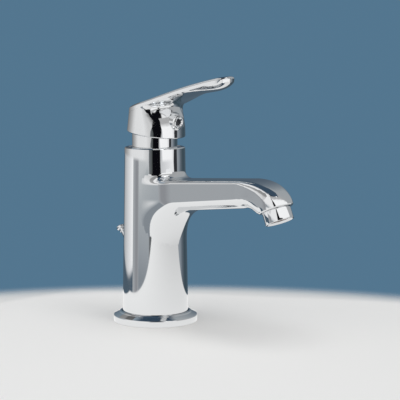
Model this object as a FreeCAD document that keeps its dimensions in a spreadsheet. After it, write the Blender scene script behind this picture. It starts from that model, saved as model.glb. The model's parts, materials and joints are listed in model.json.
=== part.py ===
import FreeCAD, Part
import math
import os
import re

import Sketcher
from FreeCAD import Placement, Rotation, Vector

# Single-lever basin mixer. Millimetres, deck surface at z = 0, +Z up, spout along +X, hot side at -Y.

DIMENSIONS = [
    ("column_height", 122.6, "deck to the column's rim"),
    ("foot_gap", 0.2, "metal stands this far off the deck, on the seal"),
    ("column_foot_radius", 23.2, "column at the deck"),
    ("column_rim_radius", 21.1, "column at its rim"),
    ("rim_chamfer", 0.7, "bevel around the rim"),
    ("cavity_radius", 18.6, "hose cavity in the column"),
    ("chamber_floor", 92.0, "shoulder between cavity and cartridge chamber"),
    ("chamber_radius", 17.7, "bore for the cartridge"),
    ("nut_seat", 113.5, "start of the ring nut's thread"),
    ("nut_bore", 18.6, "ring nut's thread in the column"),
    ("ring_radius", 29.4, "base ring"),
    ("ring_lip", 3.2, "upright edge of the base ring"),
    ("ring_height", 7.6, "base ring at the column"),
    ("ring_bore", 23.4, "base ring's hole"),
    ("seal_inner", 24.5, "base seal"),
    ("seal_outer", 28.0, "base seal"),
    ("seal_height", 1.7, "base seal"),
    ("spout_root_top", 99.6, "spout's top line carried back to the axis"),
    ("spout_root_bottom", 77.4, "spout's lower line carried back to the axis"),
    ("spout_top_rise", 0.068, "slope of the top line"),
    ("spout_bottom_rise", 0.108, "slope of the lower line"),
    ("spout_root_half_width", 16.4, "half width carried back to the axis"),
    ("spout_narrowing", 0.042, "half width lost for each mm of reach"),
    ("spout_edge", 2.2, "upper corners of the spout's section"),
    ("spout_belly", 8.4, "lower corners of the spout's section"),
    ("blend_above", 5.0, "fillet to the column above the spout"),
    ("blend_below", 13.0, "fillet to the column below the spout"),
    ("bend_start", 84.0, "reach at which the spout starts to turn down"),
    ("entry_reach", 94.0, "first third of the bend"),
    ("entry_level", 96.6, "first third of the bend"),
    ("entry_pitch", 12.0, "degrees below level, first third of the bend"),
    ("bend_reach", 102.3, "middle of the bend"),
    ("bend_level", 95.0, "middle of the bend"),
    ("bend_pitch", 36.0, "degrees below level, middle of the bend"),
    ("exit_reach", 107.6, "last third of the bend"),
    ("exit_level", 91.6, "last third of the bend"),
    ("exit_pitch", 55.0, "degrees below level, last third of the bend"),
    ("collar_reach", 110.8, "centre of the spout's end face"),
    ("collar_level", 87.6, "centre of the spout's end face"),
    ("collar_radius", 11.75, "spout's round end"),
    ("collar_round", 0.6, "bevel of the spout's round end"),
    ("outlet_lean", 22.5, "degrees the jet leans away from the column"),
    ("waterway_radius", 5.5, "channel in the spout"),
    ("aerator_thread", 9.0, "M18 x 1 sleeve"),
    ("aerator_radius", 9.5, "visible sleeve"),
    ("aerator_drop", 8.5, "visible length of the sleeve"),
    ("aerator_bore", 7.9, "inside of the sleeve"),
    ("mouth_bevel", 1.2, "bevel inside the sleeve's mouth"),
    ("block_foot", 66.0, "underside of the inlet block"),
    ("inlet_radius", 5.0, "M10 x 1 inlet"),
    ("inlet_depth", 14.0, "length of the inlet thread"),
    ("inlet_x", -1.0, "inlets in plan"),
    ("inlet_y", 8.2, "inlets in plan"),
    ("port_radius", 3.0, "cartridge ports"),
    ("port_x", -2.2, "hot and cold ports in plan"),
    ("port_y", 7.4, "hot and cold ports in plan"),
    ("mixed_x", 8.5, "mixed port in plan"),
    ("cartridge_radius", 17.5, "35 mm cartridge"),
    ("cartridge_shoulder", 114.0, "top of the cartridge shell"),
    ("neck_radius", 12.3, "cartridge neck"),
    ("neck_top", 127.0, "cartridge neck"),
    ("neck_bore", 9.7, "bore for the carrier"),
    ("carrier_radius", 9.62, "turning carrier"),
    ("disc_level", 96.05, "underside of the fixed disc"),
    ("disc_thickness", 3.0, "ceramic discs"),
    ("fixed_disc_radius", 13.2, "lower ceramic disc"),
    ("moving_disc_radius", 10.4, "upper ceramic disc"),
    ("pivot_level", 122.0, "spindle pin"),
    ("rest_lean", 8.3, "degrees the closed lever leans forward"),
    ("spindle_width", 7.0, "square of the spindle"),
    ("ball_drop", 16.0, "pin to ball"),
    ("ball_radius", 2.6, "ball end"),
    ("pin_radius", 1.5, "spindle pin"),
    ("cap_radius", 15.75, "cap ring"),
    ("cap_top", 134.5, "cap ring"),
    ("hub_radius", 20.35, "lever hub"),
    ("hub_rim", 10.0, "hub rim above the pivot"),
    ("hub_ceiling", 17.6, "inside of the hub"),
    ("blade_root_radius", 20.4, "blade outline around the hub axis"),
    ("blade_tip_radius", 8.5, "round end of the blade"),
    ("blade_tip_centre", 55.1, "centre of the round end"),
    ("blade_edge", 3.9, "upright thickness of the blade at its edges"),
    ("blade_back_level", 21.6, "top line 30 mm behind the axis"),
    ("blade_axis_level", 32.5, "top line over the hub axis"),
    ("blade_bow_level", 44.4, "top line 24 mm ahead of the axis"),
    ("blade_mid_level", 53.9, "top line 45 mm ahead of the axis"),
    ("blade_front_level", 63.9, "top line 75 mm ahead of the axis"),
    ("neck_shift", 5.0, "how far back the hub's front circle lies under the blade"),
    ("neck_narrowing", 1.8, "how much smaller the hub's front circle is under the blade"),
    ("hub_wall", 2.2, "wall of the hub"),
    ("edge_round", 1.5, "upper edge of the lever"),
    ("plug_level", 21.5, "index plug above the pivot"),
    ("plug_radius", 4.2, "index plug"),
    ("plug_face", 20.9, "index plug's face from the hub axis"),
    ("dish_radius", 5.6, "raised seat of the index plug"),
    ("screw_radius", 2.5, "M5 set screw"),
    ("rod_radius", 1.75, "pull rod"),
    ("rod_lean", 33.0, "degrees the pull rod leans back"),
    ("rod_knob_x", -33.2, "underside of the knob"),
    ("rod_knob_z", 61.5, "underside of the knob"),
    ("rod_bend_z", 19.6, "where the rod turns upright"),
    ("rod_foot", -58.0, "lower end of the rod"),
    ("bush_radius", 2.9, "rod guide"),
    ("stud_radius", 4.0, "M8 stud"),
    ("stud_x", 12.5, "stud in plan"),
    ("stud_top", 76.5, "stud"),
    ("stud_foot", -50.0, "stud"),
    ("deck_thickness", 18.0, "deck between seal and horseshoe"),
    ("shoe_radius", 26.0, "horseshoe washers"),
    ("shoe_slot", 14.2, "half width of the horseshoe's mouth"),
    ("gasket_thickness", 3.0, "rubber horseshoe"),
    ("plate_thickness", 2.0, "steel horseshoe"),
    ("nut_flats", 13.0, "stud nut across flats"),
    ("nut_length", 12.0, "stud nut"),
]

doc = FreeCAD.newDocument("basin_mixer")
sheet = doc.addObject("Spreadsheet::Sheet", "Dims")
for row, (alias, value, note) in enumerate(DIMENSIONS, start=1):
    sheet.set("A%d" % row, note)
    sheet.set("B%d" % row, str(value))
    sheet.setAlias("B%d" % row, alias)
doc.recompute()

ALIASES = {alias for alias, _, _ in DIMENSIONS}
UP = Vector(0, 0, 1)
ACROSS = Vector(0, 1, 0)


def expand(text):
    """An expression in plain aliases, with each alias pointed at the sheet."""
    return re.sub(r"[a-z_]+", lambda word: "Dims." * (word.group() in ALIASES) + word.group(), text)


def size(text):
    """The value of an expression in sheet aliases."""
    return float(sheet.evalExpression(expand(text)))


def bind(obj, **properties):
    """Drives the object's properties from the sheet."""
    for name, text in properties.items():
        obj.setExpression(name, expand(text))


def put(obj, x="0", y="0", z="0", turn=None):
    """Places an object, its position driven from the sheet."""
    if turn is not None:
        obj.Placement = Placement(Vector(), turn)
    for axis, text in (("x", x), ("y", y), ("z", z)):
        obj.setExpression("Placement.Base." + axis, expand(text))
    return obj


def rod(name, radius, height, x="0", y="0", z="0", turn=None):
    solid = doc.addObject("Part::Cylinder", name)
    bind(solid, Radius=radius, Height=height)
    return put(solid, x, y, z, turn)


def block(name, length, width, height, x, y, z):
    solid = doc.addObject("Part::Box", name)
    bind(solid, Length=length, Width=width, Height=height)
    return put(solid, x, y, z)


def united(name, shapes):
    solid = doc.addObject("Part::MultiFuse", name)
    solid.Shapes = shapes
    return solid


def less(name, base, tools):
    """Base with the tools taken away."""
    solid = doc.addObject("Part::Cut", name)
    solid.Base = base
    solid.Tool = tools[0] if len(tools) == 1 else united(name + "_tools", tools)
    return solid


def shared(name, first, second):
    solid = doc.addObject("Part::Common", name)
    solid.Base = first
    solid.Tool = second
    return solid


def tie(sketch, kind, geometry, vertex, text):
    """Drives one coordinate of a sketch point from the sheet."""
    index = sketch.addConstraint(Sketcher.Constraint(kind, -1, 1, geometry, vertex, size(text)))
    sketch.setExpression("Constraints[%d]" % index, expand(text))


def tie_radius(sketch, geometry, text):
    index = sketch.addConstraint(Sketcher.Constraint("Radius", geometry, size(text)))
    sketch.setExpression("Constraints[%d]" % index, expand(text))


def origin_plane(body, role):
    return [item for item in body.Origin.OriginFeatures if item.Role == role][0]


def draw_outline(sketch, corners):
    """A closed outline of straight sides through corners given as sheet expressions."""
    places = [Vector(size(x), size(y), 0) for x, y in corners]
    count = len(places)
    for i in range(count):
        sketch.addGeometry(Part.LineSegment(places[i], places[(i + 1) % count]))
    for i in range(count):
        sketch.addConstraint(Sketcher.Constraint("Coincident", i, 2, (i + 1) % count, 1))
    for i, (x, y) in enumerate(corners):
        tie(sketch, "DistanceX", i, 1, x)
        tie(sketch, "DistanceY", i, 1, y)


def turned(name, corners):
    """A body turned about Z from a half section of (radius, level) corners."""
    body = doc.addObject("PartDesign::Body", name)
    sketch = body.newObject("Sketcher::SketchObject", name + "_section")
    sketch.AttachmentSupport = [(origin_plane(body, "XZ_Plane"), "")]
    sketch.MapMode = "FlatFace"
    draw_outline(sketch, corners)
    doc.recompute()
    turn = body.newObject("PartDesign::Revolution", name + "_turn")
    turn.Profile = sketch
    turn.ReferenceAxis = (sketch, ["V_Axis"])
    turn.Angle = 360
    body.Tip = turn
    doc.recompute()
    return body


def rounded(body, radius, wanted):
    """Rounds the edges of a body's tip that the test picks."""
    tip = body.Tip
    names = ["Edge%d" % (i + 1) for i, edge in enumerate(tip.Shape.Edges) if wanted(edge)]
    fillet = body.newObject("PartDesign::Fillet", body.Name + "_round%d" % len(body.Group))
    fillet.Base = (tip, names)
    bind(fillet, Radius=radius)
    body.Tip = fillet
    doc.recompute()
    return body


def circle_at(edge, radius, level):
    """Whether an edge is the circle of this radius at this level."""
    box = edge.BoundBox
    return abs(box.XMax - radius) < 0.02 and abs(box.ZMax - level) < 0.02 and box.ZLength < 0.02


def blended(name, base, picks):
    """A Part fillet; picks pairs a radius, or a function of the vertex, with a test for the edges."""
    doc.recompute()
    fillet = doc.addObject("Part::Fillet", name)
    fillet.Base = base
    edges = []
    for i, edge in enumerate(base.Shape.Edges, start=1):
        for radius, wanted in picks:
            if wanted(edge):
                first = edge.valueAt(edge.FirstParameter)
                last = edge.valueAt(edge.LastParameter)
                ends = [radius(first), radius(last)] if callable(radius) else [size(radius), size(radius)]
                if edge.Orientation == "Forward":
                    ends.reverse()
                edges.append((i, ends[0], ends[1]))
                break
    fillet.Edges = edges
    doc.recompute()
    return fillet


def ring_wire(name, centre, pitch, half_width, above, below, upper_power, lower_power):
    """One cross-section of the spout: a squared oval, its corners set by the two powers."""
    tilt = math.radians(pitch)
    upward = Vector(math.sin(tilt), 0, math.cos(tilt))
    count = 32
    points = []
    for i in range(count):
        angle = 2 * math.pi * i / count
        c = math.cos(angle)
        s = math.sin(angle)
        power = upper_power if s >= 0 else lower_power
        reach = above if s >= 0 else below
        size_here = (abs(c) ** power + abs(s) ** power) ** (-1.0 / power)
        points.append(centre + ACROSS * (half_width * size_here * c) + upward * (reach * size_here * s))
    curve = Part.BSplineCurve()
    curve.interpolate(points, PeriodicFlag=True)
    wire = doc.addObject("Part::Feature", name)
    wire.Shape = Part.Wire(curve.toShape())
    return wire


def lofted(name, sections, degree=5):
    solid = doc.addObject("Part::Loft", name)
    solid.Sections = sections
    solid.Solid = True
    solid.Ruled = False
    solid.MaxDegree = degree
    return solid


def spout_centre(reach):
    top = size("spout_root_top") + size("spout_top_rise") * reach
    bottom = size("spout_root_bottom") + size("spout_bottom_rise") * reach
    return Vector(reach, 0, (top + bottom) / 2), (top - bottom) / 2


def cornered_wire(name, centre, pitch, corners, middles):
    """A closed section of eight edges through corners and edge middles, given across and up."""
    tilt = math.radians(pitch)
    upward = Vector(math.sin(tilt), 0, math.cos(tilt))
    count = len(corners)
    places = [centre + ACROSS * y + upward * z for y, z in corners]
    edges = []
    for i in range(count):
        start = places[i]
        end = places[(i + 1) % count]
        if middles[i] is None:
            edges.append(Part.makeLine(start, end))
        else:
            half = centre + ACROSS * middles[i][0] + upward * middles[i][1]
            edges.append(Part.Arc(start, half, end).toShape())
    wire = doc.addObject("Part::Feature", name)
    wire.Shape = Part.Wire(edges)
    return wire


def box_wire(name, centre, pitch, half_width, above, below, upper_round, lower_round):
    """A spout section with flat sides and top, its lower corners fuller than its upper ones."""
    side = half_width
    u = upper_round
    w = lower_round
    cut = 1 - math.sqrt(0.5)
    corners = [(side, w - below), (side, above - u), (side - u, above), (u - side, above)]
    corners += [(-side, above - u), (-side, w - below), (w - side, -below), (side - w, -below)]
    middles = [None, (side - u * cut, above - u * cut), None, (u * cut - side, above - u * cut)]
    middles += [None, (w * cut - side, w * cut - below), None, (side - w * cut, w * cut - below)]
    return cornered_wire(name, centre, pitch, corners, middles)


def round_wire(name, centre, pitch, radius):
    """A round section with the same eight edges."""
    def at(step):
        angle = math.radians(22.5 * step)
        return radius * math.cos(angle), radius * math.sin(angle)

    corners = [at(2 * i - 1) for i in range(8)]
    middles = [at(2 * i) for i in range(8)]
    return cornered_wire(name, centre, pitch, corners, middles)


def bend_wire(name, place, half_width, above, below, upper_round, lower_round):
    """A spout section in the bend; place is the first word of its three sizes in the sheet."""
    centre = Vector(size(place + "_reach"), 0, size(place + "_level"))
    pitch = size(place + "_pitch")
    return box_wire(name, centre, pitch, half_width, above, below, upper_round, lower_round)


def make_arm():
    """The straight part of the spout: a wedge with its long edges rounded."""
    arm = doc.addObject("Part::Wedge", "arm_blank")
    near = "(spout_root_half_width - spout_narrowing * 6)"
    far = "(spout_root_half_width - spout_narrowing * bend_start)"
    bind(arm, Ymin="6", Ymax="bend_start", Xmin="-" + near, Xmax=near, X2min="-" + far, X2max=far)
    bind(arm, Zmin="spout_root_bottom + spout_bottom_rise * 6", Zmax="spout_root_top + spout_top_rise * 6")
    bind(arm, Z2min="spout_root_bottom + spout_bottom_rise * bend_start",
         Z2max="spout_root_top + spout_top_rise * bend_start")
    arm.Placement = Placement(Vector(), Rotation(UP, -90))

    def upper(edge):
        box = edge.BoundBox
        return box.XLength > 60 and box.ZMin > 95

    def lower(edge):
        box = edge.BoundBox
        return box.XLength > 60 and box.ZMin < 80

    return blended("arm", arm, [("spout_edge", upper), ("spout_belly", lower)])


def make_bend(arm):
    """The spout's turned-down end, lofted from the arm's end face to a round one."""
    doc.recompute()
    start = doc.addObject("Part::Feature", "bend_start_section")
    ends = [face for face in arm.Shape.Faces if face.BoundBox.XLength < 0.01 and face.BoundBox.XMin > 50]
    start.Shape = ends[0].OuterWire.copy()
    sections = [start]
    upper = size("spout_edge")
    lower = size("spout_belly")
    reach = size("bend_start") + 3
    centre, half = spout_centre(reach)
    width = size("spout_root_half_width") - size("spout_narrowing") * reach
    sections.append(box_wire("spout_lead", centre, 0.0, width, half, half, upper, lower))
    sections.append(bend_wire("spout_entry", "entry", 12.5, 9.0, 9.4, 4.0, 8.2))
    sections.append(bend_wire("spout_bend", "bend", 12.1, 9.8, 10.4, 6.5, 8.0))
    sections.append(bend_wire("spout_exit", "exit", 11.9, 11.1, 11.3, 9.0, 9.0))
    end = Vector(size("collar_reach"), 0, size("collar_level"))
    sections.append(round_wire("spout_end", end, 90 - size("outlet_lean"), size("collar_radius")))
    return lofted("bend", sections, 3)


def make_waterway():
    bore = size("waterway_radius")
    sections = []
    for reach, drop in ((15.0, 3.6), (36.0, 1.0), (62.0, 0.0), (86.0, 0.0)):
        centre, _ = spout_centre(reach)
        centre.z -= drop
        name = "waterway_section_%d" % reach
        sections.append(ring_wire(name, centre, 0.0, bore, bore, bore, 2.0, 2.0))
    bend = Vector(size("bend_reach"), 0, size("bend_level"))
    sections.append(ring_wire("waterway_bend", bend, size("bend_pitch"), bore, bore, bore, 2.0, 2.0))
    end = Vector(size("collar_reach"), 0, size("collar_level"))
    pitch = 90 - size("outlet_lean")
    sections.append(ring_wire("waterway_end", end, pitch, bore, bore, bore, 2.0, 2.0))
    return lofted("waterway", sections)


def outlet_turn():
    return Rotation(ACROSS, -size("outlet_lean"))


def lever_turn():
    return Rotation(ACROSS, size("rest_lean"))


def rod_turn():
    return Rotation(ACROSS, -size("rod_lean"))


def make_body():
    column = turned("column", [
        ("0", "foot_gap"),
        ("column_foot_radius", "foot_gap"),
        ("column_rim_radius", "column_height - rim_chamfer"),
        ("column_rim_radius - rim_chamfer", "column_height"),
        ("0", "column_height"),
    ])
    arm = make_arm()
    blank = united("casting_blank", [column, arm])

    def at_root(edge):
        box = edge.BoundBox
        return box.XMax < 24 and box.XMin > 5 and box.ZMin > 60 and box.ZMax < 112

    def at_collar(edge):
        return edge.BoundBox.XMin > 95

    def root_blend(place):
        _, half = spout_centre(18.0)
        share = (spout_centre(18.0)[0].z + half - place.z) / (2 * half)
        share = min(1.0, max(0.0, share))
        return size("blend_above") + share * (size("blend_below") - size("blend_above"))

    rooted = blended("rooted", blank, [(root_blend, at_root)])
    casting = united("casting", [rooted, make_bend(arm)])
    trim = turned("collar_trim", [
        ("collar_radius - collar_round - 0.2", "-0.2"),
        ("collar_radius + 0.6", "-0.2"),
        ("collar_radius + 0.6", "collar_round + 0.6"),
    ])
    lean = outlet_turn()
    tools = [
        at_outlet(trim),
        rod("chamber", "chamber_radius", "column_height", z="chamber_floor - 1"),
        rod("nut_thread", "nut_bore", "column_height", z="nut_seat"),
        rod("cavity", "cavity_radius", "chamber_floor + 1", z="-1"),
        make_waterway(),
        rod("outlet_thread", "aerator_thread + 0.05", "9", "collar_reach + sin(outlet_lean)", "0",
            "collar_level - cos(outlet_lean)", lean),
        rod("bush_hole", "bush_radius + 0.02", "40", "rod_knob_x + 46 * sin(rod_lean)", "0",
            "rod_knob_z - 46 * cos(rod_lean)", rod_turn()),
    ]
    return less("mixer_body", casting, tools)


def make_base():
    ring = turned("base_ring", [
        ("ring_bore", "foot_gap"),
        ("seal_inner - 0.1", "foot_gap"),
        ("seal_inner - 0.1", "seal_height + 0.05"),
        ("seal_outer + 0.1", "seal_height + 0.05"),
        ("seal_outer + 0.1", "foot_gap"),
        ("ring_radius", "foot_gap"),
        ("ring_radius", "ring_lip"),
        ("ring_bore + 0.7", "ring_height"),
        ("ring_bore", "ring_height"),
    ])
    lip = size("ring_radius")
    rounded(ring, "0.6", lambda edge: circle_at(edge, lip, size("ring_lip")))
    seal = turned("base_seal", [
        ("seal_inner", "0"),
        ("seal_outer", "0"),
        ("seal_outer", "seal_height"),
        ("seal_inner", "seal_height"),
    ])
    return [ring, seal]


def make_inlet_block():
    body = rod("block_blank", "cavity_radius - 0.08", "chamber_floor - 0.05 - block_foot", z="block_foot")
    tools = []
    for side, sign in (("hot", "-"), ("cold", "")):
        inlet_y = sign + "inlet_y"
        port_y = sign + "port_y"
        inlet_end = "block_foot + inlet_depth - 1"
        inlet_foot = "block_foot - 1"
        tools.append(rod(side + "_inlet", "inlet_radius", "inlet_depth + 1", "inlet_x", inlet_y, inlet_foot))
        tools.append(rod(side + "_rise", "port_radius", "30", "port_x", port_y, inlet_end))
    tools.append(rod("mixed_fall", "port_radius", "20", "mixed_x", "0", "chamber_floor - 9"))
    level = Rotation(ACROSS, 90)
    tools.append(rod("mixed_way", "4.6", "20", "mixed_x - 2", "0", "chamber_floor - 6.6", level))
    stud_depth = "stud_top + 1 - block_foot"
    tools.append(rod("stud_hole", "stud_radius + 0.03", stud_depth, "stud_x", "0", "block_foot - 0.5"))
    return less("inlet_block", body, tools)


def port_places():
    return (("hot", "port_x", "-port_y"), ("cold", "port_x", "port_y"), ("mixed", "mixed_x", "0"))


def make_cartridge():
    level = "chamber_floor + 0.05"
    foot = rod("foot_blank", "cartridge_radius - 0.1", "disc_level - 0.1 - chamber_floor", z=level)
    holes = []
    rings = []
    discs = []
    for side, x, y in port_places():
        holes.append(rod(side + "_foot_port", "port_radius", "8", x, y, "chamber_floor - 1"))
        holes.append(rod(side + "_seal_seat", "port_radius + 1.4", "2.5", x, y, "chamber_floor - 1"))
        ring = rod(side + "_seal_blank", "port_radius + 1.3", "1.4", x, y, "chamber_floor")
        eye = rod(side + "_seal_eye", "port_radius + 0.1", "4", x, y, "chamber_floor - 1")
        rings.append(less(side + "_seal", ring, [eye]))
        discs.append(rod(side + "_disc_port", "port_radius", "8", x, y, "disc_level - 1"))
    foot = less("cartridge_base", foot, holes)
    seals = united("port_seals", rings)
    lower_blank = rod("lower_blank", "fixed_disc_radius", "disc_thickness - 0.05", z="disc_level")
    lower = less("fixed_disc", lower_blank, discs)
    offset = "-ball_drop * sin(rest_lean)"
    upper_level = "disc_level + disc_thickness"
    upper_blank = rod("upper_blank", "moving_disc_radius", "disc_thickness + 0.45", offset, "0", upper_level)
    pocket = rod("mixing_pocket", "6.2", "1.5", offset + " + 1", "0", "disc_level + disc_thickness - 0.1")
    upper = less("moving_disc", upper_blank, [pocket])
    driver_level = "disc_level + 2 * disc_thickness + 0.5"
    driver_blank = rod("driver_blank", "moving_disc_radius", "4.4", offset, "0", driver_level)
    socket = rod("ball_socket", "ball_radius + 0.4", "6", offset, "0", "pivot_level - ball_drop - 2.85")
    driver = less("disc_driver", driver_blank, [socket])
    shell = turned("cartridge_housing", [
        ("15.8", "disc_level"),
        ("cartridge_radius", "disc_level"),
        ("cartridge_radius", "cartridge_shoulder"),
        ("neck_radius", "cartridge_shoulder"),
        ("neck_radius", "neck_top"),
        ("neck_bore", "neck_top"),
        ("neck_bore", "cartridge_shoulder - 2.5"),
        ("15.8", "cartridge_shoulder - 2.5"),
    ])
    nut_blank = turned("nut_blank", [
        ("neck_radius + 0.2", "cartridge_shoulder + 0.05"),
        ("nut_bore - 0.08", "cartridge_shoulder + 0.05"),
        ("nut_bore - 0.08", "column_height - 2.5"),
        ("cap_radius - 1.7", "column_height - 2.5"),
        ("cap_radius - 1.7", "neck_top - 1"),
        ("neck_radius + 0.2", "neck_top - 1"),
    ])
    notches = [
        block("nut_notch_x", "40", "4", "4", "-20", "-2", "neck_top - 3.5"),
        block("nut_notch_y", "4", "40", "4", "-2", "-20", "neck_top - 3.5"),
    ]
    nut = less("retaining_nut", nut_blank, notches)
    cap = turned("cap_ring", [
        ("cap_radius - 1.4", "column_height - 2.1"),
        ("nut_bore - 0.15", "column_height - 2.1"),
        ("nut_bore - 0.15", "column_height - 0.2"),
        ("cap_radius", "column_height - 0.2"),
        ("cap_radius", "cap_top"),
        ("cap_radius - 3.3", "cap_top"),
        ("cap_radius - 3.3", "cap_top - 1.3"),
        ("cap_radius - 1.4", "cap_top - 1.3"),
    ])
    rim = size("cap_radius")
    rounded(cap, "2.2", lambda edge: circle_at(edge, rim, size("cap_top")))
    return [foot, seals, lower, upper, driver, shell, nut, cap]


def make_carrier():
    blank = turned("carrier_blank", [
        ("0", "cartridge_shoulder - 6.4"),
        ("13.5", "cartridge_shoulder - 6.4"),
        ("13.5", "cartridge_shoulder - 2.8"),
        ("carrier_radius", "cartridge_shoulder - 2.8"),
        ("carrier_radius", "neck_top + 1"),
        ("0", "neck_top + 1"),
    ])
    slot = block("carrier_slot", "14", "spindle_width + 1", "40", "-7", "-spindle_width / 2 - 0.5", "100")
    along = Rotation(Vector(1, 0, 0), -90)
    hole = rod("carrier_eye", "pin_radius + 0.02", "40", "0", "-20", "pivot_level", along)
    carrier = less("spindle_carrier", blank, [slot, hole])
    pin_length = "2 * carrier_radius - 0.8"
    pin = rod("spindle_pin", "pin_radius", pin_length, "0", "0.4 - carrier_radius", "pivot_level", along)
    return [carrier, pin]


def make_spindle():
    half = "-spindle_width / 2"
    stem = block("stem", "spindle_width", "spindle_width", "34.5", half, half, "-7")
    neck = rod("stem_neck", "1.9", "ball_drop - 6", z="-ball_drop")
    ball = doc.addObject("Part::Sphere", "stem_ball")
    bind(ball, Radius="ball_radius")
    put(ball, z="-ball_drop")
    along = Rotation(Vector(1, 0, 0), -90)
    eye = rod("stem_eye", "pin_radius + 0.08", "20", "0", "-10", "0", along)
    spindle = less("spindle", united("stem_blank", [stem, neck, ball]), [eye])
    return put(spindle, z="pivot_level", turn=lever_turn())


def plan_outline(name, root, tip, tip_centre):
    """The blade in plan: two round ends joined by their common tangents."""
    sketch = doc.addObject("Sketcher::SketchObject", name)
    r0 = size(root)
    r1 = size(tip)
    reach = size(tip_centre)
    lean = math.asin((r0 - r1) / reach)
    near = math.pi / 2 - lean
    end = Vector(reach, 0, 0)
    sketch.addGeometry(Part.ArcOfCircle(Part.Circle(Vector(), UP, r0), near, 2 * math.pi - near))
    sketch.addGeometry(Part.ArcOfCircle(Part.Circle(end, UP, r1), -near, near))
    out = Vector(math.cos(near), math.sin(near), 0)
    low = Vector(out.x, -out.y, 0)
    sketch.addGeometry(Part.LineSegment(end + out * r1, out * r0))
    sketch.addGeometry(Part.LineSegment(low * r0, end + low * r1))
    sketch.addConstraint(Sketcher.Constraint("Coincident", 0, 3, -1, 1))
    sketch.addConstraint(Sketcher.Constraint("PointOnObject", 1, 3, -1))
    sketch.addConstraint(Sketcher.Constraint("Tangent", 1, 2, 2, 1))
    sketch.addConstraint(Sketcher.Constraint("Tangent", 2, 2, 0, 1))
    sketch.addConstraint(Sketcher.Constraint("Tangent", 0, 2, 3, 1))
    sketch.addConstraint(Sketcher.Constraint("Tangent", 3, 2, 1, 1))
    tie_radius(sketch, 0, root)
    tie_radius(sketch, 1, tip)
    tie(sketch, "DistanceX", 1, 3, tip_centre)
    return sketch


def swept_up(name, sketch, height):
    solid = doc.addObject("Part::Extrusion", name)
    solid.Base = sketch
    solid.DirMode = "Custom"
    solid.Dir = UP
    bind(solid, LengthFwd=height)
    solid.Solid = True
    return solid


def top_line(drop):
    """The lever's top line in its middle plane, lowered by drop."""
    levels = [
        (-30, "blade_back_level"),
        (0, "blade_axis_level"),
        (24, "blade_bow_level"),
        (45, "blade_mid_level"),
        (75, "blade_front_level"),
    ]
    curve = Part.BSplineCurve()
    curve.interpolate([Vector(x, 0, size(level) - drop) for x, level in levels])
    return curve


def side_slab(name):
    """A slab 60 mm wide that fills everything under the lever's top line."""
    top = top_line(0)
    back = top.StartPoint
    front = top.EndPoint
    deep_front = Vector(front.x, 0, 0)
    deep_back = Vector(back.x, 0, 0)
    sides = [
        top.toShape(),
        Part.makeLine(front, deep_front),
        Part.makeLine(deep_front, deep_back),
        Part.makeLine(deep_back, back),
    ]
    face = Part.Face(Part.Wire(Part.__sortEdges__(sides)))
    slab = doc.addObject("Part::Feature", name)
    slab.Shape = face.extrude(Vector(0, 60, 0))
    slab.Placement = Placement(Vector(0, -30, 0), Rotation())
    return slab


def sweep_level(x, drop):
    """Height of the lever's top line, lowered by drop, x ahead of the hub axis."""
    curve = top_line(drop)
    low = curve.FirstParameter
    high = curve.LastParameter
    for _ in range(40):
        middle = (low + high) / 2
        if curve.value(middle).x < x:
            low = middle
        else:
            high = middle
    return curve.value(low).z


def blade_half_width(x):
    """Half the blade's width in plan, x ahead of the hub axis."""
    root = size("blade_root_radius")
    tip = size("blade_tip_radius")
    centre = size("blade_tip_centre")
    lean = math.asin((root - tip) / centre)
    if x < centre + tip * math.sin(lean):
        return (root - x * math.sin(lean)) / math.cos(lean)
    past = min(x - centre, 0.99 * tip)
    return math.sqrt(tip ** 2 - past ** 2)


def belly_wire(name, x, bulge):
    """A section across the blade: open above, its underside an arc that hangs bulge below the edges."""
    half_width = blade_half_width(x)
    edge = sweep_level(x, size("blade_edge"))
    curve = (half_width ** 2 + bulge ** 2) / (2 * bulge)
    reach = half_width + 1.0
    ends = edge - bulge + curve - math.sqrt(curve ** 2 - reach ** 2)
    left = Vector(x, -reach, ends)
    right = Vector(x, reach, ends)
    high_left = Vector(x, -reach, 95)
    high_right = Vector(x, reach, 95)
    wire = doc.addObject("Part::Feature", name)
    wire.Shape = Part.Wire([
        Part.Arc(left, Vector(x, 0, edge - bulge), right).toShape(),
        Part.makeLine(right, high_right),
        Part.makeLine(high_right, high_left),
        Part.makeLine(high_left, left),
    ])
    return wire


def make_belly():
    """Everything above the blade's underside, which swells towards the tip."""
    sections = []
    bulges = [(-30, 0.6), (5, 1.0), (20, 1.8), (32, 2.6), (44, 3.5), (52, 4.3)]
    bulges += [(57, 4.1), (60, 3.3), (62, 2.1), (63.4, 0.5), (64.5, 0.2)]
    for x, bulge in bulges:
        sections.append(belly_wire("belly_%d" % (10 * x + 300), x, bulge))
    return lofted("belly", sections, 3)


def hub_wire(name, level, pitch, share, inset=0.0):
    """A section of the hub: round behind, in front a smaller circle whose centre lies further back."""
    count = 64
    wall = size("hub_radius")
    shift = -size("neck_shift") * share
    radius = wall - size("neck_narrowing") * share
    rise = math.tan(math.radians(pitch))
    points = []
    for i in range(count):
        angle = 2 * math.pi * i / count
        c = math.cos(angle)
        s = math.sin(angle)
        neck = shift * c + math.sqrt(radius ** 2 - (shift * s) ** 2)
        turned_to = math.degrees(math.acos(c))
        ease = min(1.0, max(0.0, (turned_to - 48.0) / 42.0))
        ease = ease * ease * (3 - 2 * ease)
        reach = neck + ease * (wall - neck) - inset
        points.append(Vector(reach * c, reach * s, level + rise * reach * c))
    curve = Part.BSplineCurve()
    curve.interpolate(Points=points, PeriodicFlag=True, Parameters=[i / count for i in range(count + 1)])
    wire = doc.addObject("Part::Feature", name)
    wire.Shape = Part.Wire(curve.toShape())
    return wire


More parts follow.
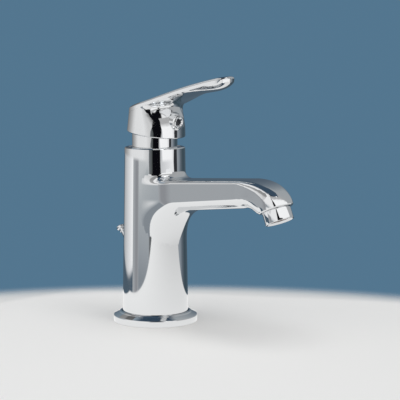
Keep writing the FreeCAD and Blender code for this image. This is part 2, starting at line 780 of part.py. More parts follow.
def make_hub():
    """The hub's outside: its front leans back as it rises and spreads again into the blade."""
    foot = size("hub_rim")
    sections = [hub_wire("hub_foot", foot, 0.0, 0.0)]
    rising = [(4, 2, 0.10), (7.5, 6, 0.25), (10.5, 10.5, 0.45), (13.2, 15.5, 0.72), (15.3, 19.5, 0.95)]
    spreading = [(16.9, 22, 1.0), (18.1, 23.5, 0.8), (19.2, 24, 0.4), (20.6, 24, 0.1)]
    for i, (up, pitch, share) in enumerate(rising + spreading):
        sections.append(hub_wire("hub_section_%d" % i, foot + up, pitch, share))
    return lofted("hub", sections, 3)


def make_hollow():
    """The hub's inside, open at the rim."""
    wall = size("hub_wall")
    foot = size("hub_rim")
    top = size("hub_ceiling")
    low = hub_wire("hollow_foot", foot - 1, 0.0, 0.0, wall)
    middle = hub_wire("hollow_middle", (foot + top) / 2, 0.0, 0.09, wall)
    high = hub_wire("hollow_top", top, 0.0, 0.22, wall)
    return lofted("hub_hollow_blank", [low, middle, high], 3)


def follows(edge, drop):
    """Whether an edge runs along the lever's top line, lowered by drop."""
    middle = edge.valueAt((edge.FirstParameter + edge.LastParameter) / 2)
    return abs(middle.z - sweep_level(middle.x, drop)) < 0.03 and edge.BoundBox.ZLength > 0.3


def lever_frame(obj):
    return put(obj, z="pivot_level", turn=lever_turn())


def make_lever():
    hub = make_hub()
    outline = plan_outline("blade_outline", "blade_root_radius", "blade_tip_radius", "blade_tip_centre")
    blade_plan = swept_up("blade_plan", outline, "95")
    blade = shared("blade_deep", blade_plan, side_slab("blade_side"))
    blade = shared("blade", blade, make_belly())

    def upper_edge(edge):
        return follows(edge, 0)

    def rim_edge(edge):
        return edge.BoundBox.ZMax < size("hub_rim") + 0.1 and edge.BoundBox.XLength > 20

    joined = united("lever_blank", [hub, blade])
    joined.Refine = True
    soft = blended("lever_edged", joined, [("edge_round", upper_edge)])
    soft = blended("lever_rimmed", soft, [("0.6", rim_edge)])

    boss = rod("hub_boss", "7.6", "hub_ceiling - hub_rim - 3.5 + 1", z="hub_rim + 3.5")
    hollow = less("hub_space", make_hollow(), [boss])
    dish = turned("plug_dish", [
        ("0", "plug_face - 8"),
        ("dish_radius + 1.2", "plug_face - 8"),
        ("dish_radius", "plug_face - 1.0"),
        ("dish_radius - 0.6", "plug_face - 0.6"),
        ("0", "plug_face - 0.6"),
    ])
    put(dish, z="plug_level", turn=Rotation(ACROSS, 90))
    solid = united("lever_dished", [soft, dish])
    socket_side = "spindle_width + 0.1"
    socket_edge = "-spindle_width / 2 - 0.05"
    socket_depth = "28 - hub_rim"
    socket = block("hub_socket", socket_side, socket_side, socket_depth, socket_edge, socket_edge, "hub_rim")
    forward = Rotation(ACROSS, 90)
    screw_hole = rod("screw_hole", "screw_radius + 0.03", "14", "0", "0", "plug_level", forward)
    plug_hole = rod("plug_hole", "screw_radius + 0.5", "12", "12", "0", "plug_level", forward)
    plug_seat = rod("plug_seat", "plug_radius + 0.15", "6", "plug_face - 2.05", "0", "plug_level", forward)
    lever = less("lever_handle", solid, [hollow, socket, screw_hole, plug_hole, plug_seat])
    return lever_frame(lever)


def along_plug(obj):
    """Stands a turned piece on the hub's front, its own axis pointing forward."""
    turn = Rotation(ACROSS, 90 + size("rest_lean"))
    return put(obj, "plug_level * sin(rest_lean)", "0", "pivot_level + plug_level * cos(rest_lean)", turn)


def make_lever_fittings():
    plug = turned("index_plug", [
        ("0", "plug_face - 5"),
        ("screw_radius + 0.45", "plug_face - 5"),
        ("screw_radius + 0.45", "plug_face - 2"),
        ("plug_radius", "plug_face - 2"),
        ("plug_radius", "plug_face - 0.5"),
        ("plug_radius - 0.5", "plug_face"),
        ("plug_radius - 0.9", "plug_face"),
        ("plug_radius - 1.9", "plug_face - 0.8"),
        ("plug_radius - 1.9", "plug_face - 1.5"),
        ("0", "plug_face - 1.5"),
    ])
    dot = turned("index_dot", [
        ("0", "plug_face - 1.45"),
        ("plug_radius - 1.95", "plug_face - 1.45"),
        ("plug_radius - 1.95", "plug_face - 0.9"),
        ("plug_radius - 2.5", "plug_face - 0.6"),
        ("0", "plug_face - 0.5"),
    ])
    blank = rod("screw_blank", "screw_radius", "7", "0", "0", "spindle_width / 2 + 0.1")
    key = doc.addObject("Part::Prism", "screw_key")
    key.Polygon = 6
    bind(key, Circumradius="1.45", Height="4")
    put(key, z="spindle_width / 2 + 4.1")
    screw = less("grub_screw", blank, [key])
    return [along_plug(plug), along_plug(dot), along_plug(screw)]


def at_outlet(obj):
    return put(obj, "collar_reach", "0", "collar_level", outlet_turn())


def make_aerator():
    sleeve = turned("aerator_housing", [
        ("aerator_bore", "6.8"),
        ("aerator_thread", "6.8"),
        ("aerator_thread", "-0.1"),
        ("aerator_radius", "-0.1"),
        ("aerator_radius", "0.3 - aerator_drop"),
        ("aerator_radius - 0.3", "-aerator_drop"),
        ("aerator_bore - 0.4 + mouth_bevel", "-aerator_drop"),
        ("aerator_bore - 0.4", "mouth_bevel - aerator_drop"),
        ("aerator_bore - 0.4", "mouth_bevel + 0.8 - aerator_drop"),
        ("aerator_bore", "mouth_bevel + 0.8 - aerator_drop"),
    ])
    former = turned("former_blank", [
        ("0", "mouth_bevel + 0.1 - aerator_drop"),
        ("aerator_bore - 0.5", "mouth_bevel + 0.1 - aerator_drop"),
        ("aerator_bore - 0.5", "mouth_bevel + 0.85 - aerator_drop"),
        ("aerator_bore - 0.05", "mouth_bevel + 0.85 - aerator_drop"),
        ("aerator_bore - 0.05", "4.95"),
        ("0", "4.95"),
    ])
    holes = [rod("jet_middle", "1.5", "40", z="-20")]
    for i in range(6):
        turn = math.radians(60 * i)
        hole = doc.addObject("Part::Cylinder", "jet_%d" % i)
        bind(hole, Radius="1.5", Height="40")
        hole.Placement = Placement(Vector(4.5 * math.cos(turn), 4.5 * math.sin(turn), -20), Rotation())
        holes.append(hole)
    insert = less("aerator_insert", former, holes)
    screen = turned("aerator_screen", [
        ("0", "5.1"),
        ("aerator_bore - 0.1", "5.1"),
        ("aerator_bore - 0.1", "5.7"),
        ("0", "5.7"),
    ])
    washer = turned("aerator_washer", [
        ("aerator_bore - 1.8", "6.85"),
        ("aerator_thread - 0.05", "6.85"),
        ("aerator_thread - 0.05", "7.9"),
        ("aerator_bore - 1.8", "7.9"),
    ])
    return [at_outlet(sleeve), at_outlet(insert), at_outlet(screen), at_outlet(washer)]


def along_rod(obj, drop="0"):
    """Sets a piece on the pull rod's axis, drop below the underside of the knob."""
    x = "rod_knob_x + (%s) * sin(rod_lean)" % drop
    z = "rod_knob_z - (%s) * cos(rod_lean)" % drop
    return put(obj, x, "0", z, rod_turn())


def make_lift():
    lean = math.radians(size("rod_lean"))
    top = Vector(size("rod_knob_x") - 1.1 * math.sin(lean), 0, size("rod_knob_z") + 1.1 * math.cos(lean))
    down = Vector(math.sin(lean), 0, -math.cos(lean))
    corner = top + down * ((top.z - size("rod_bend_z")) / math.cos(lean))
    foot = Vector(corner.x, 0, size("rod_foot"))
    setback = 12.0 * math.tan(lean / 2)
    first = corner - down * setback
    last = corner - UP * setback
    half = (first + last) * 0.5
    bow = (corner - half).normalize() * (12.0 - 12.0 * math.cos(lean / 2))
    spine = doc.addObject("Part::Feature", "rod_spine")
    bend = Part.Arc(first, half + bow, last).toShape()
    spine.Shape = Part.Wire([Part.makeLine(top, first), bend, Part.makeLine(last, foot)])
    ring = doc.addObject("Part::Circle", "rod_circle")
    bind(ring, Radius="rod_radius")
    put(ring, str(top.x), "0", str(top.z), rod_turn())
    rod_solid = doc.addObject("Part::Sweep", "lift_rod")
    rod_solid.Sections = [ring]
    rod_solid.Spine = (spine, ["Edge1", "Edge2", "Edge3"])
    rod_solid.Solid = True
    knob = turned("lift_knob", [
        ("0", "1.15"),
        ("rod_radius + 0.02", "1.15"),
        ("rod_radius + 0.02", "-1.5"),
        ("rod_radius + 0.7", "-1.5"),
        ("rod_radius + 0.7", "0.7"),
        ("rod_radius + 1.9", "0.7"),
        ("rod_radius + 1.9", "2.8"),
        ("0", "2.8"),
    ])
    edge_radius = size("rod_radius + 1.9")

    def at_rim(edge):
        return abs(edge.BoundBox.XMax - edge_radius) < 0.01 and edge.BoundBox.ZLength < 0.01

    rounded(knob, "0.5", at_rim)
    guide = turned("rod_guide", [
        ("rod_radius + 0.08", "0"),
        ("bush_radius", "0"),
        ("bush_radius", "12"),
        ("rod_radius + 0.08", "12"),
    ])
    return [rod_solid, along_rod(knob), along_rod(guide, "30.5")]


def make_fixings():
    stud = rod("mounting_stud", "stud_radius", "stud_top - stud_foot", "stud_x", "0", "stud_foot")
    shoes = []
    for name, top, thickness in (
        ("horseshoe_gasket", "-deck_thickness", "gasket_thickness"),
        ("horseshoe_plate", "-deck_thickness - gasket_thickness - 0.02", "plate_thickness"),
    ):
        disc = rod(name + "_disc", "shoe_radius", thickness, z="%s - %s" % (top, thickness))
        mouth = block(name + "_mouth", "40", "2 * shoe_slot", "40", "-33.5", "-shoe_slot", "-50")
        hole = rod(name + "_hole", "stud_radius + 0.4", "40", "stud_x", "0", "-50")
        shoes.append(less(name, disc, [mouth, hole]))
    foot = "-deck_thickness - gasket_thickness - plate_thickness - 0.04 - nut_length"
    hexagon = doc.addObject("Part::Prism", "nut_hexagon")
    hexagon.Polygon = 6
    bind(hexagon, Circumradius="nut_flats / 2 / cos(30)", Height="nut_length")
    put(hexagon, "stud_x", "0", foot)
    thread = rod("nut_thread_hole", "stud_radius + 0.03", "40", "stud_x", "0", "-60")
    return [stud] + shoes + [less("stud_nut", hexagon, [thread])]


nodes = [make_body()] + make_base() + [make_inlet_block()] + make_cartridge() + make_carrier()
nodes += [make_spindle(), make_lever()] + make_lever_fittings()
nodes += make_aerator() + make_lift() + make_fixings()
doc.recompute()

for item in doc.Objects:
    if "Invalid" in item.State or "Error" in item.State:
        raise RuntimeError("%s did not build: %s" % (item.Name, item.State))
os.makedirs("parts", exist_ok=True)
for node in nodes:
    shape = node.Shape
    if shape.isNull() or not shape.isValid() or not shape.Solids:
        raise RuntimeError("%s has no valid solid" % node.Label)
    shape.exportStep("parts/%s.step" % node.Label)
    print(node.Label, len(shape.Solids), round(shape.Volume, 1))
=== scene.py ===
"""Single-lever basin mixer: polished pieces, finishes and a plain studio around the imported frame."""

import json
import math
from functools import partial

import bmesh
import bpy
from bpy.props import FloatProperty, FloatVectorProperty, PointerProperty
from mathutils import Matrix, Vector


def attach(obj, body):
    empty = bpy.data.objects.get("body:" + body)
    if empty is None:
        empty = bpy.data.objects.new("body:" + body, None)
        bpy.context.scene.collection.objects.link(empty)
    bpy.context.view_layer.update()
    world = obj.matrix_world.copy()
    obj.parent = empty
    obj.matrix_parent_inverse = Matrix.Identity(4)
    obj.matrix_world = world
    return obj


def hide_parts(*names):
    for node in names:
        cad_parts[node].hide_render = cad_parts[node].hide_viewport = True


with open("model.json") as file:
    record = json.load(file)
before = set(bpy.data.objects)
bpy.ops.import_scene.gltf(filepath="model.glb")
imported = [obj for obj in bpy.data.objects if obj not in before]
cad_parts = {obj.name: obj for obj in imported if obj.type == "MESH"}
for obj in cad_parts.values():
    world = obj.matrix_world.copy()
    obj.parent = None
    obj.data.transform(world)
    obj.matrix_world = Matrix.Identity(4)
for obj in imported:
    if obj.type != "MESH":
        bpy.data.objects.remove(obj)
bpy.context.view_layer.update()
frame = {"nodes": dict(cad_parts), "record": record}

bl_info = {
    "name": "Basin Mixer Dressing",
    "version": (1, 0, 0),
    "blender": (4, 5, 0),
    "location": "View3D > Sidebar > Mixer",
    "description": "Builds the polished skin, fittings, finishes and studio of a single-lever basin mixer",
    "category": "Object",
}

MM = 0.001

# Vertices nearer than WELD are joined, and a vertex as near as ON_RING to a ring lies on it
WELD = 0.002 * MM
ON_RING = 0.01 * MM
# In radians: faces that turn by less than FLAT_BELOW are joined, and an edge that turns by more than
# SHARP_ABOVE is sharp
FLAT_BELOW = math.radians(1.0)
SHARP_ABOVE = 1.0


# Sizes and colours that a user may change

LengthProperty = partial(FloatProperty, unit="LENGTH")
AngleProperty = partial(FloatProperty, subtype="ANGLE")
ColourProperty = partial(FloatVectorProperty, subtype="COLOR", size=3)


class MixerSizes(bpy.types.PropertyGroup):
    ring_radius: LengthProperty(name="Base ring radius", description="Ring on the deck", default=29.4 * MM)
    ring_bore: LengthProperty(name="Base ring bore", description="Hole round the column", default=23.4 * MM)
    ring_lip: LengthProperty(name="Base ring lip", description="Upright edge of the ring", default=4.6 * MM)
    ring_height: LengthProperty(
        name="Base ring height", description="Top of the sloped flank", default=7.6 * MM)
    cap_radius: LengthProperty(name="Cap radius", description="Cap over the cartridge", default=15.75 * MM)
    cap_flange: LengthProperty(
        name="Cap flange radius", description="Foot of the cap inside the rim", default=18.45 * MM)
    cap_foot: LengthProperty(name="Cap foot", description="Underside of the flange", default=120.5 * MM)
    cap_top: LengthProperty(name="Cap top", description="Upper face of the cap", default=134.5 * MM)
    outlet_reach: LengthProperty(
        name="Outlet reach", description="Outlet ahead of the column", default=110.8 * MM)
    outlet_level: LengthProperty(
        name="Outlet level", description="Shoulder of the sleeve above the deck", default=87.6 * MM)
    outlet_lean: AngleProperty(
        name="Outlet lean", description="Outlet turned forward", default=math.radians(22.5))
    sleeve_radius: LengthProperty(name="Sleeve radius", description="Visible sleeve", default=9.5 * MM)
    sleeve_thread: LengthProperty(
        name="Sleeve thread radius", description="Sleeve inside the spout", default=9.0 * MM)
    sleeve_drop: LengthProperty(
        name="Sleeve drop", description="Visible length of the sleeve", default=8.5 * MM)
    sleeve_bore: LengthProperty(
        name="Sleeve bore radius", description="Inside of the sleeve", default=7.9 * MM)
    pivot_level: LengthProperty(name="Lever pivot", description="Pivot above the deck", default=122.0 * MM)
    lever_lean: AngleProperty(
        name="Lever lean", description="Hub leant forward at rest", default=math.radians(8.3))
    plug_level: LengthProperty(name="Plug level", description="Index plug above the pivot", default=21.5 * MM)
    plug_face: LengthProperty(
        name="Plug face", description="Front of the plug ahead of the hub axis", default=20.9 * MM)
    plug_radius: LengthProperty(name="Plug radius", description="Index plug", default=4.2 * MM)
    rod_radius: LengthProperty(name="Rod radius", description="Pull rod", default=1.75 * MM)
    rod_lean: AngleProperty(name="Rod lean", description="Pull rod leant back", default=math.radians(33.0))
    knob_back: LengthProperty(
        name="Knob place", description="Knob behind the column axis", default=-33.2 * MM)
    knob_level: LengthProperty(name="Knob level", description="Knob above the deck", default=61.5 * MM)
    stud_place: LengthProperty(
        name="Stud place", description="Stud ahead of the column axis", default=12.5 * MM)
    stud_radius: LengthProperty(name="Stud radius", description="Fixing stud", default=4.0 * MM)
    stud_foot: LengthProperty(name="Stud foot", description="Lower end of the stud", default=-50.0 * MM)
    stud_top: LengthProperty(name="Stud top", description="Upper end of the stud", default=76.5 * MM)
    thread_pitch: LengthProperty(
        name="Thread pitch", description="Rise of the stud in one turn", default=1.25 * MM)
    nut_flats: LengthProperty(name="Nut flats", description="Across the flats of the nut", default=13.0 * MM)
    nut_foot: LengthProperty(name="Nut foot", description="Underside of the nut", default=-35.04 * MM)
    nut_length: LengthProperty(name="Nut length", description="Height of the nut", default=12.0 * MM)


class MixerFinishes(bpy.types.PropertyGroup):
    chrome: ColourProperty(name="Chrome", description="Plated metal", default=(0.78, 0.79, 0.80))
    brass: ColourProperty(name="Brass", description="Machined brass", default=(0.68, 0.48, 0.20))
    zinc: ColourProperty(name="Zinc", description="Zinc-plated steel", default=(0.56, 0.57, 0.58))
    rubber: ColourProperty(name="Rubber", description="Seals and gasket", default=(0.018, 0.018, 0.020))
    dot: ColourProperty(
        name="Index dot", description="Dark centre of the plug", default=(0.012, 0.014, 0.022))
    former: ColourProperty(name="Jet former", description="Insert in the outlet", default=(0.16, 0.11, 0.09))


class MixerStudio(bpy.types.PropertyGroup):
    azimuth: AngleProperty(
        name="Camera azimuth", description="Round the column, 0 looks along +Y", default=math.radians(45.22))
    distance: LengthProperty(
        name="Camera distance", description="Level distance to the column's axis", default=0.986)
    height: LengthProperty(name="Camera height", description="Above the deck", default=0.1989)
    pitch: AngleProperty(name="Camera pitch", description="Below level", default=math.radians(6.586))
    swing: AngleProperty(
        name="Camera swing", description="Aim turned off the column's axis", default=math.radians(-1.824))
    lens: FloatProperty(
        name="Lens", description="Focal length on a 36 mm sensor", default=127.73, unit="CAMERA")
    card: ColourProperty(
        name="Card", description="Pale card that the chrome mirrors", default=(0.87, 0.87, 0.865))
    floor: ColourProperty(name="Floor", description="Pale floor", default=(0.80, 0.785, 0.765))
    backdrop: ColourProperty(name="Backdrop", description="Plain backdrop", default=(0.088, 0.182, 0.275))


# Selection and editing

def alone(obj):
    """Selects this object and no other."""
    if bpy.context.mode != "OBJECT":
        bpy.ops.object.mode_set(mode="OBJECT")
    bpy.ops.object.select_all(action="DESELECT")
    obj.select_set(True)
    bpy.context.view_layer.objects.active = obj


def open_mesh(obj):
    """Takes this object alone into edit mode."""
    alone(obj)
    bpy.ops.object.mode_set(mode="EDIT")


def close_mesh():
    """Goes back to object mode."""
    bpy.ops.object.mode_set(mode="OBJECT")


def weld():
    """Joins the vertices of the open mesh that meet, and leaves all of it selected."""
    bpy.ops.mesh.select_all(action="SELECT")
    bpy.ops.mesh.remove_doubles(threshold=WELD)


def ease_edges(obj, test, width, segments):
    """Rounds the edges that the test takes."""
    bpy.ops.mesh.select_mode(type="EDGE")
    bpy.ops.mesh.select_all(action="DESELECT")
    mesh = bmesh.from_edit_mesh(obj.data)
    for edge in mesh.edges:
        if test(edge):
            edge.select_set(True)
    mesh.select_flush_mode()
    bmesh.update_edit_mesh(obj.data)
    bpy.ops.mesh.bevel(offset=width, segments=segments, profile=0.5, affect="EDGES", clamp_overlap=True)


def apply_modifier(obj, kind, **settings):
    """Adds a modifier with these settings and applies it."""
    modifier = obj.modifiers.new(kind.title(), kind)
    for name, value in settings.items():
        setattr(modifier, name, value)
    alone(obj)
    bpy.ops.object.modifier_apply(modifier=modifier.name)


def smooth(obj, degrees=35.0):
    """Shades an object smooth, apart from edges that turn by more than so many degrees."""
    alone(obj)
    bpy.ops.object.shade_smooth_by_angle(angle=math.radians(degrees))


def polished_copy(node, name, degrees=35.0):
    """A welded copy of a CAD node, with even shading over its curves."""
    source = frame["nodes"][node]
    piece = bpy.data.objects.new(name, source.data.copy())
    bpy.context.scene.collection.objects.link(piece)
    open_mesh(piece)
    weld()
    close_mesh()
    alone(piece)
    bpy.ops.mesh.customdata_custom_splitnormals_clear()
    smooth(piece, degrees)
    apply_modifier(piece, "WEIGHTED_NORMAL", mode="FACE_AREA_WITH_ANGLE", keep_sharp=True, weight=60)
    return piece


def eased_copy(node, name, width):
    """A welded copy of a CAD node with its sharp edges broken."""
    def sharp(edge):
        return len(edge.link_faces) == 2 and edge.calc_face_angle() > SHARP_ABOVE

    piece = polished_copy(node, name)
    open_mesh(piece)
    bpy.ops.mesh.select_all(action="SELECT")
    bpy.ops.mesh.dissolve_limited(angle_limit=FLAT_BELOW)
    ease_edges(piece, sharp, width, segments=2)
    close_mesh()
    smooth(piece, 30.0)
    return piece


def drawn(name, profile):
    """A line of vertices through the radii and levels of a profile."""
    bpy.ops.object.select_all(action="DESELECT")
    bpy.ops.mesh.primitive_plane_add(size=MM, location=(0, 0, 0))
    piece = bpy.context.object
    piece.name = name
    bpy.ops.object.mode_set(mode="EDIT")
    bpy.ops.mesh.select_mode(type="VERT")
    bpy.ops.mesh.select_all(action="SELECT")
    bpy.ops.mesh.merge(type="CENTER")
    bpy.ops.transform.translate(value=(profile[0][0], 0, profile[0][1]))
    for here, there in zip(profile, profile[1:]):
        step = (there[0] - here[0], 0, there[1] - here[1])
        bpy.ops.mesh.extrude_vertices_move(TRANSFORM_OT_translate={"value": step})
    return piece


def spun(name, profile, steps, angle):
    """Spins a profile round the Z axis, and stays in edit mode."""
    piece = drawn(name, profile)
    bpy.ops.mesh.select_all(action="SELECT")
    bpy.ops.mesh.spin(steps=steps, angle=angle, center=(0, 0, 0), axis=(0, 0, 1))
    return piece


def turned(name, profile, steps=128):
    """Turns a profile all round, as on a lathe."""
    piece = spun(name, profile, steps, math.tau)
    weld()
    bpy.ops.mesh.normals_make_consistent(inside=False)
    close_mesh()
    return piece


def ease_rings(piece, rings, width, segments=4):
    """Rounds the ring edges at these radii and levels."""
    def near(vertex, ring):
        radius = math.hypot(vertex.co.x, vertex.co.y)
        return abs(radius - ring[0]) < ON_RING and abs(vertex.co.z - ring[1]) < ON_RING

    def on_ring(edge):
        return any(near(edge.verts[0], ring) and near(edge.verts[1], ring) for ring in rings)

    open_mesh(piece)
    ease_edges(piece, on_ring, width, segments)
    close_mesh()


def stand(piece, place, turn=0.0):
    """Turns a piece about the Y axis, sets it at its place and puts both into its mesh."""
    alone(piece)
    piece.rotation_euler = (0, turn, 0)
    piece.location = place
    bpy.ops.object.transform_apply(location=True, rotation=True, scale=True)


def slice_off(piece, place, normal):
    """Cuts away what lies beyond a plane and closes the cut."""
    open_mesh(piece)
    bpy.ops.mesh.select_all(action="SELECT")
    bpy.ops.mesh.bisect(plane_co=place, plane_no=normal, use_fill=True, clear_outer=True)
    close_mesh()


def mend(piece):
    """Welds a cut mesh and turns its faces outwards."""
    open_mesh(piece)
    weld()
    bpy.ops.mesh.normals_make_consistent(inside=False)
    close_mesh()


# Finishes

def new_finish(name):
    """A new material, with its tree and its shader."""
    finish = bpy.data.materials.new(name)
    finish.use_nodes = True
    tree = finish.node_tree
    shader = tree.nodes["Principled BSDF"]
    return finish, tree, shader


def add_node(tree, kind, inputs, **settings):
    """A new node with its settings; an input is linked where its value is a socket, and else set."""
    node = tree.nodes.new(kind)
    for name, value in settings.items():
        setattr(node, name, value)
    for place, value in inputs.items():
        if isinstance(value, bpy.types.NodeSocket):
            tree.links.new(value, node.inputs[place])
        else:
            node.inputs[place].default_value = value
    return node


def own_place(tree):
    """Coordinates of the piece itself."""
    return tree.nodes.new("ShaderNodeTexCoord").outputs["Object"]


def object_noise(tree, scale, detail=3.0, roughness=0.5, stretch=(1.0, 1.0, 1.0)):
    """Noise on the piece's own coordinates; returns its value socket."""
    mapping = add_node(tree, "ShaderNodeMapping", {"Vector": own_place(tree), "Scale": stretch})
    inputs = {"Vector": mapping.outputs["Vector"], "Scale": scale, "Detail": detail, "Roughness": roughness}
    return add_node(tree, "ShaderNodeTexNoise", inputs).outputs["Fac"]


def ranged(tree, value, low, high, from_low=0.3, from_high=0.7, **settings):
    """Goes from low to high as the value goes from one bound to the other, and no further."""
    inputs = {"Value": value, "From Min": from_low, "From Max": from_high, "To Min": low, "To Max": high}
    return add_node(tree, "ShaderNodeMapRange", inputs, **settings).outputs["Result"]


def share_of(tree, value, start, end):
    """Nothing where the value is at its start, one where it is at its end."""
    return ranged(tree, value, 0.0, 1.0, start, end)


def ramped(tree, value, stops):
    """A colour that runs through these stops as the value goes from 0 to 1."""
    node = tree.nodes.new("ShaderNodeValToRGB")
    ramp = node.color_ramp
    while len(ramp.elements) < len(stops):
        ramp.elements.new(0.5)
    for element, (place, colour) in zip(ramp.elements, stops):
        element.position = place
        element.color = (*colour, 1.0)
    tree.links.new(value, node.inputs["Fac"])
    return node.outputs["Color"]


def faded(tree, value, solid, gone):
    """One where the value is below solid, nothing where it is past gone."""
    return ranged(tree, value, 1.0, 0.0, solid, gone, interpolation_type="SMOOTHERSTEP")


def worked(tree, operation, first, second):
    """A sum on two sockets or numbers."""
    return add_node(tree, "ShaderNodeMath", {0: first, 1: second}, operation=operation).outputs["Value"]


def towards(tree, vector, direction):
    """How far a vector reaches in a direction."""
    node = add_node(tree, "ShaderNodeVectorMath", {0: vector, 1: direction}, operation="DOT_PRODUCT")
    return node.outputs["Value"]


def reach_of(tree, vector):
    """How long a vector is."""
    return add_node(tree, "ShaderNodeVectorMath", {0: vector}, operation="LENGTH").outputs["Value"]


# Sockets of a mix of two colours
MIX_FIRST = 6
MIX_SECOND = 7
MIX_RESULT = 2


def mixed(tree, share, first, second):
    """Goes from the first colour to the second as the share goes from 0 to 1."""
    inputs = {"Factor": share}
    for place, colour in ((MIX_FIRST, first), (MIX_SECOND, second)):
        inputs[place] = (*colour, 1.0) if isinstance(colour, tuple) else colour
    return add_node(tree, "ShaderNodeMix", inputs, data_type="RGBA").outputs[MIX_RESULT]


def shown(tree, share, first, second, output):
    """Shows the first shader where the share is 0 and the second where it is 1."""
    chosen = add_node(tree, "ShaderNodeMixShader", {"Fac": share, 1: first, 2: second})
    add_node(tree, output, {"Surface": chosen.outputs["Shader"]})


def bumped(tree, shader, value, strength, distance):
    """Lets the value stand up from the surface."""
    node = add_node(tree, "ShaderNodeBump", {"Height": value, "Strength": strength, "Distance": distance})
    tree.links.new(node.outputs["Normal"], shader.inputs["Normal"])


def shade(colour, factor):
    """A darker or paler colour of the same hue."""
    return tuple(min(1.0, part * factor) for part in colour)


def chrome_finish(colour):
    """Polished plating with a faint film on it."""
    finish, tree, shader = new_finish("polished_chrome")
    shader.inputs["Metallic"].default_value = 1.0
    film = object_noise(tree, scale=38.0, detail=4.0, roughness=0.6)
    tree.links.new(ranged(tree, film, low=0.025, high=0.06), shader.inputs["Roughness"])
    cloud = object_noise(tree, scale=22.0, detail=2.0)
    stops = [(0.3, shade(colour, 0.98)), (0.7, colour)]
    tree.links.new(ramped(tree, cloud, stops), shader.inputs["Base Color"])
    return finish


def metal_finish(name, colour, low, high, grain, stretch, depth):
    """Machined or plated metal with a grain in one direction."""
    finish, tree, shader = new_finish(name)
    shader.inputs["Metallic"].default_value = 1.0
    lines = object_noise(tree, grain, detail=5.0, roughness=0.6, stretch=stretch)
    tree.links.new(ranged(tree, lines, low, high), shader.inputs["Roughness"])
    cloud = object_noise(tree, scale=160.0, detail=3.0)
    stops = [(0.25, shade(colour, 0.78)), (0.55, colour), (0.8, shade(colour, 1.1))]
    tree.links.new(ramped(tree, cloud, stops), shader.inputs["Base Color"])
    bumped(tree, shader, lines, depth, distance=0.02 * MM)
    return finish


def moulded_finish(name, colour, low, high, grain, depth):
    """Moulded plastic, rubber or ceramic with a fine skin."""
    finish, tree, shader = new_finish(name)
    skin = object_noise(tree, grain, detail=4.0, roughness=0.6)
    tree.links.new(ranged(tree, skin, low, high), shader.inputs["Roughness"])
    cloud = object_noise(tree, scale=90.0, detail=2.0)
    stops = [(0.3, shade(colour, 0.88)), (0.7, shade(colour, 1.06))]
    tree.links.new(ramped(tree, cloud, stops), shader.inputs["Base Color"])
    bumped(tree, shader, skin, depth, distance=0.03 * MM)
    return finish


CERAMIC = (0.80, 0.79, 0.75)
WHITE_PLASTIC = (0.74, 0.74, 0.72)
GREY_PLASTIC = (0.20, 0.21, 0.22)
FINISHES = {}


def make_finishes(colours):
    """Makes each slot's finish: its roughness from low to high, the scale of its grain and its depth."""
    metals = {
        "cast_brass": (colours.brass, dict(
            low=0.24, high=0.42, grain=700.0, stretch=(1, 1, 0.15), depth=0.25)),
        "spindle_brass": (colours.brass, dict(
            low=0.16, high=0.30, grain=900.0, stretch=(0.2, 1, 1), depth=0.15)),
        "zinc_steel": (colours.zinc, dict(
            low=0.22, high=0.40, grain=800.0, stretch=(1, 1, 0.3), depth=0.2)),
        "wire_screen": (colours.zinc, dict(
            low=0.25, high=0.4, grain=1500.0, stretch=(1, 1, 1), depth=0.3)),
    }
    moulded = {
        "black_rubber": (colours.rubber, dict(low=0.55, high=0.8, grain=1800.0, depth=0.35)),
        "ceramic": (CERAMIC, dict(low=0.12, high=0.22, grain=600.0, depth=0.05)),
        "white_plastic": (WHITE_PLASTIC, dict(low=0.35, high=0.5, grain=1200.0, depth=0.15)),
        "grey_plastic": (GREY_PLASTIC, dict(low=0.35, high=0.5, grain=1200.0, depth=0.15)),
        "aerator_plastic": (colours.former, dict(low=0.35, high=0.55, grain=1400.0, depth=0.2)),
        "index_dark": (colours.dot, dict(low=0.12, high=0.25, grain=900.0, depth=0.05)),
    }
    FINISHES["polished_chrome"] = chrome_finish(tuple(colours.chrome))
    for name, (colour, skin) in metals.items():
        FINISHES[name] = metal_finish(name, tuple(colour), **skin)
    for name, (colour, skin) in moulded.items():
        FINISHES[name] = moulded_finish(name, tuple(colour), **skin)


def slot_of(node):
    """The material slot of a CAD node in the record."""
    for part in frame["record"]["subparts"]:
        if part["node"] == node:
            return part["material_slot"]
    raise RuntimeError("no slot holds " + node)


def paint(piece, slot):
    """Gives a piece the finish of a slot."""
    piece.data.materials.clear()
    piece.data.materials.append(FINISHES[slot])


def body_of(node):
    """The body that carries a CAD node in the record."""
    for body, members in frame["record"]["behaviour"]["bodies"].items():
        if node in members:
            return body
    raise RuntimeError("no body holds " + node)


# Pieces

class MIXER_OT_finishes(bpy.types.Operator):
    """Make every finish and give each CAD node its own"""
    bl_idname = "mixer.finishes"
    bl_label = "Finishes"

    def execute(self, context):
        make_finishes(context.scene.mixer_finishes)
        for node, piece in frame["nodes"].items():
            paint(piece, slot_of(node))
        return {"FINISHED"}


def dress(piece, node, in_its_place=True):
    """Sets a finished piece on a node's body in the node's finish, and in its place where told to."""
    slot = slot_of(node)
    paint(piece, slot)
    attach(piece, body_of(node))
    if in_its_place:
        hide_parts(node)


class MIXER_OT_casting(bpy.types.Operator):
    """Weld and polish the cast column and spout"""
    bl_idname = "mixer.casting"
    bl_label = "Casting"

    def execute(self, context):
        dress(polished_copy("mixer_body", "casting_polished"), "mixer_body")
        return {"FINISHED"}


# Walls of the spout carried back to the column's axis: the size there, and its gain for each metre of reach
ROOT_TOP = (99.6 * MM, 0.068)
ROOT_BOTTOM = (77.4 * MM, 0.108)
ROOT_HALF_WIDTH = (16.4 * MM, -0.042)
# Rounding of the spout's upper and lower edges, and the steps in each rounding and each wall between two
ROOT_EDGE = 2.2 * MM
ROOT_BELLY = 8.4 * MM
ROOT_STEPS = 16
